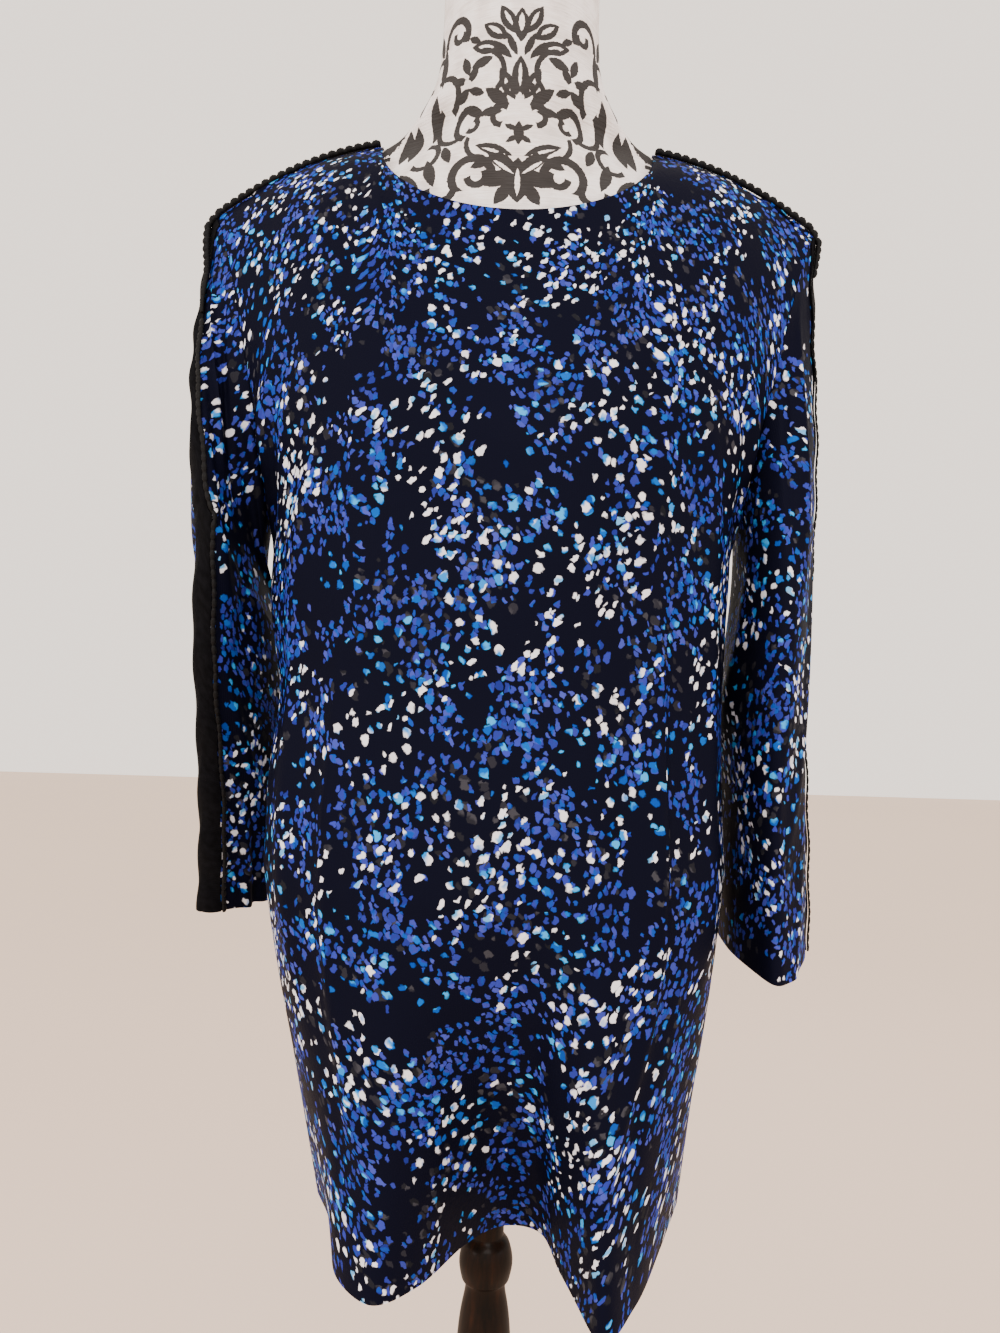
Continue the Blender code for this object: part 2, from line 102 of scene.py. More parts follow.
FLOOR_HALF = 8.0
LAMPS = (
    # name, place, width, height, watts, colour
    ("lamp over the camera", (0.25, -2.3, 2.35), 1.6, 1.0, 52.0, "#fff9f5"),
    ("lamp left", (-2.1, -1.5, 1.7), 0.8, 1.8, 34.0, "#fffdfb"),
    ("lamp right", (2.4, -1.0, 1.5), 1.2, 1.6, 12.0, "#f4f6ff"),
    ("lamp behind", (0.6, 2.2, 2.3), 1.4, 1.0, 14.0, "#ffffff"),
)
AIM = Vector((0.0, 0.0, 1.05))
SURROUND, SURROUND_STRENGTH = "#f5e8dc", 2.1

paint, tree, shader = surface("painted floor, matt", Roughness=0.75)
grain = add(tree, "TexNoise", {"Scale": 3.0, "Detail": 4.0})
tint = add(tree, "ValToRGB", {0: grain}, stops=((0.3, "#dfc9b8"), (0.7, "#e4cfbe")))
tree.links.new(tint.outputs[0], shader.inputs["Base Color"])
floor_mesh = bpy.data.meshes.new("floor")
corners = [(x * FLOOR_HALF, y * FLOOR_HALF, 0) for x, y in ((-1, -1), (1, -1), (1, 1), (-1, 1))]
floor_mesh.from_pydata(corners, [], [(0, 1, 2, 3)])
floor_mesh.materials.append(paint)
floor = bpy.data.objects.new("floor", floor_mesh)
bpy.context.scene.collection.objects.link(floor)
for name, place, width, height, watts, colour in LAMPS:
    lamp = bpy.data.lights.new(name, "AREA")
    lamp.shape = "RECTANGLE"
    lamp.size, lamp.size_y = width, height
    lamp.energy = watts
    lamp.color = linear(colour)[:3]
    holder = bpy.data.objects.new(name, lamp)
    holder.location = place
    holder.rotation_euler = (AIM - Vector(place)).to_track_quat("-Z", "Y").to_euler()
    bpy.context.scene.collection.objects.link(holder)
world = bpy.data.worlds.new("studio")
world.use_nodes = True
surround = world.node_tree.nodes["Background"]
surround.inputs["Color"].default_value = linear(SURROUND)
surround.inputs["Strength"].default_value = SURROUND_STRENGTH
bpy.context.scene.world = world


# Dress form: a pressed torso with its neck, under a tight cover of slubbed cotton that
# is printed in black with a traditional scroll and leaf ornament.
def smooth_rows(table, keys):
    """Values of a table's columns at each key, along smooth curves through its rows."""
    table = np.array(table, float)
    at = table[:, 0]
    keys = np.clip(keys, at[0], at[-1])
    places = np.arange(len(at))
    before, after = np.clip(places - 1, 0, None), np.clip(places + 1, None, len(at) - 1)
    slopes = (table[after] - table[before]) / (at[after] - at[before])[:, None]
    low = np.clip(np.searchsorted(at, keys, side="right") - 1, 0, len(at) - 2)
    span = at[low + 1] - at[low]
    t = ((keys - at[low]) / span)[..., None]
    span = span[..., None]
    return (
        table[low, 1:] * (1 + 2 * t) * (1 - t) ** 2
        + slopes[low, 1:] * span * t * (1 - t) ** 2
        + table[low + 1, 1:] * t * t * (3 - 2 * t)
        + slopes[low + 1, 1:] * span * t * t * (t - 1)
    )


def soft_step(t):
    t = np.clip(t, 0.0, 1.0)
    return t * t * (3 - 2 * t)


def running_length(points, axis):
    """Length along a grid's rows or columns up to each point."""
    steps = np.linalg.norm(np.diff(points, axis=axis), axis=-1)
    return np.concatenate([np.zeros_like(steps.take([0], axis)), np.cumsum(steps, axis)], axis)


def stacked_rings(rows, sides):
    """Faces of a stack of rings of points, closed at its lower and upper end."""
    faces = [[low + j, low + (j + 1) % sides, low + sides + (j + 1) % sides, low + sides + j]
             for low in range(0, (rows - 1) * sides, sides) for j in range(sides)]
    return faces + [list(range(sides))[::-1], list(range((rows - 1) * sides, rows * sides))]


def show(name, points, faces, look, corner_uv=None):
    """New piece of the object, on the root body, with the given material."""
    mesh = bpy.data.meshes.new(name)
    mesh.from_pydata(points, [], faces)
    if corner_uv is not None:
        layer = mesh.uv_layers.new(name="cloth_metres")
        layer.data.foreach_set("uv", np.asarray(corner_uv, dtype=np.float32).ravel())
    mesh.materials.append(look)
    mesh.shade_smooth()
    piece = bpy.data.objects.new(name, mesh)
    bpy.context.scene.collection.objects.link(piece)
    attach(piece, "root")
    return piece


SHOULDER_X, SHOULDER_Z = 0.2175, 1.3605
NECK_X, NECK_Z = 0.098, 1.416
SHOULDER_ARCH, ARCH_FULLNESS = 0.0095, 0.8
FORM_SECTIONS = (
    # height, half width, front, back, depth over the shoulder, pointedness
    (0.862, 0.141, 0.100, 0.098, 0.100, 1.0),
    (0.868, 0.146, 0.106, 0.104, 0.106, 1.0),
    (0.885, 0.153, 0.113, 0.111, 0.113, 1.0),
    (0.920, 0.156, 0.117, 0.115, 0.117, 1.0),
    (0.970, 0.149, 0.113, 0.108, 0.113, 1.0),
    (1.040, 0.131, 0.103, 0.092, 0.103, 1.0),
    (1.100, 0.141, 0.110, 0.095, 0.110, 1.0),
    (1.155, 0.155, 0.121, 0.101, 0.121, 1.0),
    (1.200, 0.164, 0.118, 0.102, 0.118, 1.0),
    (1.250, 0.173, 0.102, 0.099, 0.100, 1.0),
    (1.300, 0.184, 0.082, 0.089, 0.082, 1.0),
    (1.335, 0.191, 0.067, 0.077, 0.064, 1.2),
    (1.355, 0.1935, 0.0615, 0.069, 0.049, 1.4),
    (1.370, 0.1929, 0.0600, 0.065, 0.043, 2.2),
    (1.385, 0.1778, 0.0600, 0.062, 0.0225, 2.6),
    (1.400, 0.1340, 0.0590, 0.060, 0.0200, 2.6),
    (1.4137, 0.0978, 0.0585, 0.059, 0.0290, 2.0),
    (1.430, 0.0765, 0.0580, 0.058, 0.052, 1.2),
    (1.455, 0.0620, 0.0575, 0.057, 0.056, 1.0),
    (1.485, 0.0570, 0.0565, 0.056, 0.0565, 1.0),
    (1.540, 0.0560, 0.0560, 0.056, 0.0560, 1.0),
)
NECK_SHARPNESS = 8
FORM_ROWS, FORM_SIDES = 170, 144
SEAM_STEPS = 400
UNDER_SEAM = 0.0027
PRINT_ZERO_Z = 1.425


def seam_height(along):
    """Height of the shoulder seam, from the shoulder point, 0, to the neck point, 1."""
    return (SHOULDER_Z + (NECK_Z - SHOULDER_Z) * along
            + SHOULDER_ARCH * np.sin(math.pi * np.clip(along, 0, 1)).clip(0) ** ARCH_FULLNESS)


heights = np.linspace(FORM_SECTIONS[0][0], FORM_SECTIONS[-1][0], FORM_ROWS)
half_width, front, back, shoulder, pointed = smooth_rows(FORM_SECTIONS, heights).T[:, :, None]
along = np.linspace(0, 1, SEAM_STEPS)
under_seam = np.interp(heights, seam_height(along) - UNDER_SEAM, SHOULDER_X + (NECK_X - SHOULDER_X) * along)
at_seam = (heights > SHOULDER_Z) & (heights < NECK_Z - UNDER_SEAM)
half_width = np.where(at_seam[:, None], np.minimum(half_width, under_seam[:, None]), half_width)
angles = 2 * math.pi * np.arange(FORM_SIDES) / FORM_SIDES - math.pi / 2
sine = np.sin(angles)[None, :]
reach = np.where(sine > 0, back, front)
flat = np.minimum(shoulder, reach)
depth = flat * np.abs(sine) ** pointed + (reach - flat) * np.abs(sine) ** NECK_SHARPNESS
form_grid = np.stack([
    half_width * np.cos(angles)[None, :],
    np.sign(sine) * depth,
    np.broadcast_to(heights[:, None], depth.shape),
], axis=-1)
around = np.concatenate([form_grid, form_grid[:, :1]], axis=1)
along_ring = running_length(around, 1)
past_back = np.arange(FORM_SIDES + 1) > FORM_SIDES // 2
along_ring = np.where(past_back, along_ring - along_ring[:, -1:], along_ring)
up_front = running_length(form_grid[:, :1], 0)[:, 0]
up_front = up_front - np.interp(PRINT_ZERO_Z, heights, up_front)
faces, corner_uv = stacked_rings(FORM_ROWS, FORM_SIDES), []
for i in range(FORM_ROWS - 1):
    for j in range(FORM_SIDES):
        right, high_right = along_ring[i:i + 2, j + 1] * (-1 if j == FORM_SIDES // 2 else 1)
        corner_uv += [(along_ring[i, j], up_front[i]), (right, up_front[i]),
                      (high_right, up_front[i + 1]), (along_ring[i + 1, j], up_front[i + 1])]
corner_uv += [tuple(form_grid.reshape(-1, 3)[k][:2]) for ring in faces[-2:] for k in ring]

# Slubbed cotton with a black print: the slubs run across the cloth, so they bump it in
# short level streaks.
ORNAMENT_HALF_WIDTH, ORNAMENT_HALF_HEIGHT = 88.0, 95.0
LEAVES = (
    # x, y, half length, half width, angle; all in mm, the left half mirrors the right one
    (0, 11, 15, 6.0, 90), (8.5, 7, 12.5, 4.8, 64), (15.5, -1, 11, 4.4, 38), (20, -10, 8.5, 3.4, 8),
    (0, -27, 8.5, 3.6, 90), (5, -23, 5.5, 2.0, 24), (4.5, -31, 5, 2.0, -30),
    (0, 47, 12, 5.6, 90), (9, 51, 11.5, 5.0, 62), (17.5, 44, 11, 5.2, 36), (24, 34, 11.5, 5.0, 12),
    (13, 31, 10, 3.0, 44), (6, 34, 9, 2.6, 66), (27, 24, 8.5, 3.8, -16), (33, 41, 5.5, 2.6, 30),
    (0, -60, 16, 9.0, 90), (10, -47, 14, 4.8, 34), (17, -38, 14, 4.0, 20), (12, -58, 12, 5.4, -26),
    (10, -69, 10, 4.6, -58), (25, -47, 8, 3.4, -22), (39, 24, 7.5, 3.4, 70), (44, 14, 7, 3.2, 10),
    (41, 4, 6.5, 3.2, -40), (33, 17, 7, 3.2, 120), (31, 5, 6.5, 2.9, 200), (52, -36, 9, 3.8, 64),
    (62, 32, 17, 4.2, 84), (67, -4, 16, 4.6, 98), (62, -50, 13, 4.4, 70), (83, 20, 17, 5.0, 90),
    (84, -18, 16, 5.4, 90), (73, 54, 13, 4.4, 60), (82, 62, 14, 4.6, 84), (76, -58, 14, 5.0, 50),
)
VEINS = (
    (0, -4, 5.0, 2.6, 90), (0, 49, 6.5, 2.0, 90), (18, 45, 6, 1.6, 36), (24.5, 34, 6, 1.6, 12),
    (0, -61, 10, 1.8, 90), (10, -50, 9, 1.2, 34), (37.5, 11, 3.6, 2.8, 60), (0, 13, 8, 1.2, 90),
    (9, 52, 6, 1.3, 62), (17, -39, 9, 1.0, 20), (9.5, 8, 7, 1.1, 64),
)
CURLS = (
    # x, y, radius, width, angle of the part that is drawn, how much of the ring is left out
    (12, -14, 6.5, 0.34, 20, -0.35), (26, 8, 18, 0.10, 250, 0.35), (38, -15, 10.5, 0.24, 40, -0.50),
    (35, -16, 4.6, 0.46, 215, -0.30), (22, -30, 15, 0.13, 300, 0.20), (31, -57, 14.0, 0.22, 80, -0.60),
    (28, -56, 6.4, 0.40, 250, -0.25), (53, -64, 9.5, 0.28, 250, -0.40), (51, -12, 14, 0.16, 330, 0.10),
    (27, 16, 16, 0.12, 160, 0.35), (58, 8, 13, 0.18, 150, 0.00), (51, 49, 12, 0.22, 100, -0.40),
    (47, 50, 5.2, 0.42, 280, -0.30), (72, 30, 11, 0.20, 20, -0.30), (70, -34, 11, 0.20, 200, -0.45),
)
SIDE_LINE = (-0.0045, 0.0026)
MM = 1000.0


def cloth_mm(tree):
    """Place on the flat cloth, in mm."""
    flat_cloth = add(tree, "TexCoord").outputs["UV"]
    return add(tree, "VectorMath", {0: flat_cloth, 1: (MM, MM, MM)}, operation="MULTIPLY")


cotton, tree, shader = surface("slubbed cotton, printed", Roughness=0.82, Specular_IOR_Level=0.20)
place = cloth_mm(tree)
ragged = add(tree, "TexNoise", {"Vector": place, "Scale": 0.55, "Detail": 2.0}, noise_dimensions="2D")
ragged = add(tree, "VectorMath", {0: ragged.outputs["Color"], 1: (0.5, 0.5, 0.5)}, operation="SUBTRACT")
shaken = add(tree, "VectorMath", {0: ragged, 1: (1.1, 1.1, 0.0), 2: place},
             operation="MULTIPLY_ADD")
split = add(tree, "SeparateXYZ", {0: shaken})
mirrored = add(tree, "Math", {0: split.outputs[0], 1: ORNAMENT_HALF_WIDTH}, operation="PINGPONG")
repeated = add(tree, "Math", {0: split.outputs[1], 1: ORNAMENT_HALF_HEIGHT, 2: -ORNAMENT_HALF_HEIGHT},
               operation="WRAP")
drawing = add(tree, "CombineXYZ", {0: mirrored, 1: repeated})


def leaf_union(table):
    """Smallest value of pointed ovals; it is below 1 inside any of them."""
    least = None
    for x, y, long, wide, angle in table:
        own = add(tree, "Mapping", {"Vector": drawing, "Location": (x, y, 0),
                                    "Rotation": (0, 0, math.radians(angle)), "Scale": (long, wide, 1)},
                  vector_type="TEXTURE")
        parts = add(tree, "SeparateXYZ", {0: own})
        aside = add(tree, "Math", {0: parts.outputs[1]}, operation="ABSOLUTE")
        value = add(tree, "Math", {0: parts.outputs[0], 1: parts.outputs[0], 2: aside},
                    operation="MULTIPLY_ADD")
        if least is not None:
            value = add(tree, "Math", {0: least, 1: value}, operation="MINIMUM")
        least = value
    return least


ink = add(tree, "Math", {0: leaf_union(LEAVES), 1: 1.0}, operation="LESS_THAN")
bare = add(tree, "Math", {0: leaf_union(VEINS), 1: 1.0}, operation="GREATER_THAN")
ink = add(tree, "Math", {0: ink, 1: bare}, operation="MULTIPLY")
for x, y, radius, wide, angle, left_out in CURLS:
    own = add(tree, "Mapping", {"Vector": drawing, "Location": (x, y, 0),
                                "Rotation": (0, 0, math.radians(angle)), "Scale": (radius, radius, 1)},
              vector_type="TEXTURE")
    ring = add(tree, "VectorMath", {0: own}, operation="LENGTH")
    drawn = add(tree, "Math", {0: ring.outputs["Value"], 1: 1.0, 2: wide}, operation="COMPARE")
    across = add(tree, "SeparateXYZ", {0: own})
    kept = add(tree, "Math", {0: across.outputs[0], 1: left_out}, operation="GREATER_THAN")
    drawn = add(tree, "Math", {0: drawn, 1: kept}, operation="MULTIPLY")
    ink = add(tree, "Math", {0: ink, 1: drawn}, operation="MAXIMUM")
solid = add(tree, "SeparateXYZ", {0: add(tree, "TexCoord").outputs["Object"]})
wobble = add(tree, "SeparateXYZ", {0: ragged})
beside = add(tree, "Math", {0: wobble.outputs[0], 1: 0.003, 2: solid.outputs[1]}, operation="MULTIPLY_ADD")
at_side = add(tree, "Math", {0: beside, 1: SIDE_LINE[0], 2: SIDE_LINE[1]}, operation="COMPARE")
ink = add(tree, "Math", {0: ink, 1: at_side}, operation="MAXIMUM")
streaks = add(tree, "Mapping", {"Vector": place, "Scale": (0.055, 0.75, 1)})
slub = add(tree, "TexNoise", {"Vector": streaks, "Scale": 1.0, "Detail": 3.0},
           noise_dimensions="2D")
mottle = add(tree, "TexNoise", {"Vector": place, "Scale": 0.06, "Detail": 2.0}, noise_dimensions="2D")
mixed = add(tree, "Math", {0: slub, 1: 0.6, 2: mottle}, operation="MULTIPLY_ADD")
cream = add(tree, "ValToRGB", {0: mixed},
            stops=((0.50, "#d2c9c6"), (0.95, "#efe9e8"), (0.75, "#e3dbd8")))
worn = add(tree, "Math", {0: ink, 1: 0.97}, operation="MULTIPLY")
printed = add(tree, "Mix", {0: worn, 6: cream, 7: linear("#0c0a0b")}, data_type="RGBA")
colour_and_relief(tree, shader, printed.outputs[2], slub, strength=0.8, distance=0.0010)

form = show("form_cover", form_grid.reshape(-1, 3), faces, cotton, corner_uv)
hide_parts("form_body")
form_surface = BVHTree.FromPolygons([Vector(p) for p in form_grid.reshape(-1, 3)], faces)


# Turned wood: the post with its knob, the round foot and the neck's cap are turned from
# beech, stained almost black and varnished.
TURNED_SIDES = 72
# Each profile's rows are height, radius.
CAP_PROFILE = ((1.5403, 0.0560), (1.5440, 0.0580), (1.5500, 0.0570), (1.5550, 0.0480), (1.5570, 0.0300))
POST_PROFILE = (
    (0.0243, 0.042), (0.0300, 0.042), (0.0400, 0.030), (0.0700, 0.022), (0.1500, 0.018), (0.3000, 0.021),
    (0.4500, 0.024), (0.5540, 0.0193), (0.5890, 0.0145), (0.5960, 0.0175), (0.6080, 0.0195),
    (0.6200, 0.0170), (0.6270, 0.0125), (0.6340, 0.0125), (0.8330, 0.0125), (0.8400, 0.0125),
    (0.8480, 0.0450), (0.8617, 0.0450),
)
BASE_PROFILE = ((0.0000, 0.170), (0.0120, 0.172), (0.0190, 0.166), (0.0240, 0.150))
PROFILE_STEPS = 8
SHARP_TURNING = math.radians(55)

wood, tree, shader = surface("beech, stained and varnished", Roughness=0.5, Specular_IOR_Level=0.06,
                             Coat_Weight=0.05, Coat_Roughness=0.2)
place = add(tree, "TexCoord").outputs["Object"]
stretched = add(tree, "Mapping", {"Vector": place, "Scale": (160, 160, 9)})
grain = add(tree, "TexNoise", {"Vector": stretched, "Scale": 1.0, "Detail": 6.0, "Roughness": 0.6})
stain = add(tree, "ValToRGB", {0: grain},
            stops=((0.35, "#0b0705"), (0.75, "#2e180b"), (0.55, "#190e08")))
colour_and_relief(tree, shader, stain.outputs[0], grain, strength=0.25, distance=0.0003)

for name, node_name, profile in (
    ("neck_cap", "form_cap", CAP_PROFILE),
    ("turned_post", "stand_post", POST_PROFILE),
    ("round_foot", "stand_base", BASE_PROFILE),
):
    lows = np.linspace(0, len(profile) - 1, (len(profile) - 1) * PROFILE_STEPS + 1)
    table = [(i, z, r) for i, (z, r) in enumerate(profile)]
    rings = smooth_rows(table, lows)
    rings[:, 0] = np.maximum.accumulate(np.clip(rings[:, 0], profile[0][0], profile[-1][0]))
    rings[:, 1] = np.minimum(rings[:, 1], max(r for _, r in profile))
    turn = 2 * math.pi * np.arange(TURNED_SIDES) / TURNED_SIDES
    points = np.stack([
        rings[:, 1:] * np.cos(turn)[None, :], rings[:, 1:] * np.sin(turn)[None, :],
        np.broadcast_to(rings[:, :1], (len(rings), TURNED_SIDES)),
    ], axis=-1).reshape(-1, 3)
    turned = show(name, points, stacked_rings(len(rings), TURNED_SIDES), wood)
    turned.data.set_sharp_from_angle(angle=SHARP_TURNING)
    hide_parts(node_name)


# Front and back of the dress: two pieces of printed polyester satin, each cut in one,
# sewn at the shoulders and sides, with a turned neck edge and a turned-up hem.
GAP = 0.0003
HEM_Z = 0.653
HIP_Z = 0.900
UNDERARM_Z = 1.155
NECKLINE = {"front": (0.076, 0.074), "back": (0.020, 0.062)}
NECK_ROUNDNESS = 0.9
BODY_SECTIONS = (
    # height, reach left, reach right, reach front, reach back
    (0.900, 0.167, 0.162, 0.142, 0.125),
    (0.960, 0.165, 0.158, 0.139, 0.120),
    (1.020, 0.158, 0.156, 0.136, 0.113),
    (1.080, 0.164, 0.156, 0.136, 0.111),
    (1.155, 0.171, 0.167, 0.132, 0.112),
)
SECTION_SQUARENESS = 0.92
HEM_TURNS = {
    # share of the width, x, depth
    "front": (
        (0.0, -0.124, 0.000), (0.09, -0.106, 0.046), (0.1875, -0.094, 0.100), (0.26, -0.069, 0.128),
        (0.34, -0.042, 0.108), (0.43, -0.014, 0.060), (0.5, 0.011, 0.037), (0.565, 0.037, 0.045),
        (0.63, 0.048, 0.092), (0.71, 0.066, 0.155), (0.8125, 0.090, 0.122), (0.91, 0.115, 0.064),
        (1.0, 0.138, 0.000),
    ),
    "back": (
        (0.0, -0.124, 0.000), (0.10, -0.113, 0.050), (0.20, -0.093, 0.099), (0.30, -0.062, 0.112),
        (0.42, -0.028, 0.082), (0.54, 0.010, 0.078), (0.66, 0.047, 0.110), (0.77, 0.083, 0.116),
        (0.89, 0.118, 0.066), (1.0, 0.138, 0.000),
    ),
}
FOLD_GROWTH = 1.15
RIDGE_HEIGHT = 0.005
RIDGE_SPREAD = 0.035
RIDGE_TOP_Z = 1.06
RISE_HANDLES = {
    # share in from the side, lower: forward, up; upper: inward, forward, down
    "front": (
        (0.000, 0.060, 0.020, 0.0300, 0.056, 0.050),
        (0.200, 0.024, 0.070, 0.008, 0.060, 0.028),
        (0.375, 0.008, 0.090, 0.000, 0.062, 0.020),
        (0.700, 0.005, 0.060, 0.000, 0.022, 0.040),
        (1.000, 0.006, 0.050, 0.000, 0.012, 0.045),
    ),
    "back": (
        (0.000, 0.056, 0.020, 0.0300, 0.054, 0.050),
        (0.200, 0.024, 0.080, 0.008, 0.058, 0.028),
        (0.375, 0.010, 0.110, 0.000, 0.060, 0.018),
        (0.700, 0.006, 0.110, 0.000, 0.036, 0.026),
        (1.000, 0.006, 0.110, 0.000, 0.030, 0.030),
    ),
}
SHOULDER_SHARE = 0.1875
SHOULDER_ANGLE = math.radians(57.0)
CLOTH_THICK = 0.0007
SHARP_FOLD = math.radians(60)
ACROSS, UP_SKIRT, UP_YOKE = 160, 130, 72


def facing(half):
    """Sign of Y on the front or back half."""
    return -1.0 if half == "front" else 1.0


def section_angles(share):
    """Angle round the level section, 0 at the left seam and pi at the right one."""
    middle = (share - SHOULDER_SHARE) / (1 - 2 * SHOULDER_SHARE)
    return np.where(
        share < SHOULDER_SHARE, SHOULDER_ANGLE * share / SHOULDER_SHARE,
        np.where(share > 1 - SHOULDER_SHARE, math.pi - SHOULDER_ANGLE * (1 - share) / SHOULDER_SHARE,
                 SHOULDER_ANGLE + (math.pi - 2 * SHOULDER_ANGLE) * middle))


def skirt_points(half, share, heights):
    """Grid of the outer face below the underarm."""
    left, right, front, back = smooth_rows(BODY_SECTIONS, heights).T[:, :, None]
    angle = section_angles(share)[None, :]
    across = -np.cos(angle)
    near = np.minimum(np.abs(share - SHOULDER_SHARE), np.abs(1 - share - SHOULDER_SHARE))[None, :]
    rise = soft_step((RIDGE_TOP_Z - heights) / (RIDGE_TOP_Z - HIP_Z))[:, None]
    out = RIDGE_HEIGHT * rise * np.exp(-((near / RIDGE_SPREAD) ** 2)) * (half == "front")
    x = across * (np.where(across < 0, left, right) + out)
    reach = (front if half == "front" else back) + out
    y = facing(half) * np.abs(np.sin(angle)) ** SECTION_SQUARENESS * reach
    hem_x, hem_depth = smooth_rows(HEM_TURNS[half], share).T[:, None, :]
    growth = (np.clip((HIP_Z - heights) / (HIP_Z - HEM_Z), 0, None) ** FOLD_GROWTH)[:, None]
    x = x + growth * (hem_x - x)
    y = y + growth * (facing(half) * hem_depth - y)
    return np.stack([x, y, np.broadcast_to(heights[:, None], x.shape)], axis=-1)


def top_edge(half, share):
    """Shoulder seams and neckline."""
    middle = np.clip((share - SHOULDER_SHARE) / (1 - 2 * SHOULDER_SHARE), 0, 1)
    drop, depth = NECKLINE[half]
    low = np.abs(np.sin(math.pi * middle))
    neck = np.stack([-NECK_X * np.cos(math.pi * middle), facing(half) * depth * low ** NECK_ROUNDNESS,
                     NECK_Z - drop * low], -1)
    along = np.minimum(share, 1 - share) / SHOULDER_SHARE
    x = np.where(share < 0.5, -1, 1) * (SHOULDER_X + (NECK_X - SHOULDER_X) * along)
    seam = np.stack([x, 0 * x, seam_height(along)], -1)
    return np.where((along < 1)[:, None], seam, neck)


def yoke_points(half, share, rises):
    """Grid of the outer face from the underarm, rise 0, to the top edge, rise 1."""
    start = skirt_points(half, share, np.array([UNDERARM_Z]))[0]
    end = top_edge(half, share)
    handles = smooth_rows(RISE_HANDLES[half], 1 - np.abs(2 * share - 1)).T
    low_out, low_up, high_in, high_out, high_down = handles
    inward = np.where(share < 0.5, 1.0, -1.0)
    leave = start + np.stack([0 * share, facing(half) * low_out, low_up], -1)
    arrive = end + np.stack([inward * high_in, facing(half) * high_out, -high_down], -1)
    t = rises[:, None, None]
    return start * (1 - t) ** 3 + leave * 3 * t * (1 - t) ** 2 + arrive * 3 * t * t * (1 - t) + end * t ** 3


def outer_normals(grid, axis, sign, closed=False):
    """Unit normals of a grid. The first column's, or all if it is open, point to sign along axis."""
    over = np.roll(grid, -1, axis=1) - np.roll(grid, 1, axis=1) if closed else np.gradient(grid, axis=1)
    normals = np.cross(over, np.gradient(grid, axis=0))
    normals = normals / np.maximum(np.linalg.norm(normals, axis=-1, keepdims=True), 1e-12)
    judged = normals[:, 0] if closed else normals
    return normals * np.sign((judged[..., axis] * sign).mean())


def relax(grid, weight, rounds):
    """Evens a grid out where weight is above 0; its edges stay."""
    for _ in range(rounds):
        mean = (grid[:-2, 1:-1] + grid[2:, 1:-1] + grid[1:-1, :-2] + grid[1:-1, 2:]) / 4
        grid[1:-1, 1:-1] += weight[1:-1, 1:-1, None] * (mean - grid[1:-1, 1:-1])
    return grid


def crease_lift(across, up, table):
    """Height of the listed soft ridges and troughs at each place of the flat cloth."""
    lift = np.zeros_like(across)
    for start_u, start_v, end_u, end_v, bend, width, height in table:
        run_u, run_v = end_u - start_u, end_v - start_v
        length = math.hypot(run_u, run_v)
        t = ((across - start_u) * run_u + (up - start_v) * run_v) / length ** 2
        aside = ((across - start_u) * run_v - (up - start_v) * run_u) / length
        inside = np.clip(t, 0, 1)
        aside = aside - bend * np.sin(math.pi * inside)
        beyond = np.maximum(np.abs(t - 0.5) - 0.5, 0) * length
        swell = 0.25 + 0.75 * np.sin(math.pi * inside) ** 0.7
        wide = width * (0.8 + 0.5 * inside)
        lift += height * swell * np.exp(-((aside / wide) ** 2)) * np.exp(-((beyond / (1.5 * width)) ** 2))
    return lift


def shell(name, outer, inner, flat_u, flat_v, look, closed=False, flip=False):
    """Thin closed shell between two grids, with the cloth's flat place in metres as its UVs."""
    rows, columns = outer.shape[:2]
    steps = columns if closed else columns - 1
    i, j = np.meshgrid(np.arange(rows - 1), np.arange(steps), indexing="ij")
    i, j = i.ravel(), j.ravel()
    after = (j + 1) % columns
    low, high = i * columns, (i + 1) * columns
    quad = np.stack([low + j, low + after, high + after, high + j], -1)
    place = np.stack([flat_u, flat_v], -1)
    corners = np.stack([place[i, j], place[i, j + 1], place[i + 1, j + 1], place[i + 1, j]], 1)
    back_quad, back_corners = quad[:, ::-1] + rows * columns, corners[:, ::-1]
    inside = rows * columns
    edges = [((row, k), (row, k + 1), order)
             for row, order in ((0, -1), (rows - 1, 1)) for k in range(steps)]
    if not closed:
        edges += [((k, column), (k + 1, column), order)
                  for column, order in ((0, 1), (columns - 1, -1)) for k in range(rows - 1)]
    rims, rim_corners = [], []
    for start, end, order in edges:
        a, b = (row * columns + column % columns for row, column in (start, end))
        rims.append([a, b, b + inside, a + inside][::order])
        rim_corners.append([place[start], place[end], place[end], place[start]][::order])
    faces = np.concatenate([quad, back_quad, np.array(rims)])
    corner_uv = np.concatenate([corners, back_corners, np.array(rim_corners)])
    if flip:
        faces, corner_uv = faces[:, ::-1], corner_uv[:, ::-1]
    points = np.concatenate([outer.reshape(-1, 3), inner.reshape(-1, 3)])
    piece = show(name, points, faces.tolist(), look, corner_uv.reshape(-1, 2))
    piece.data.set_sharp_from_angle(angle=SHARP_FOLD)
    return piece


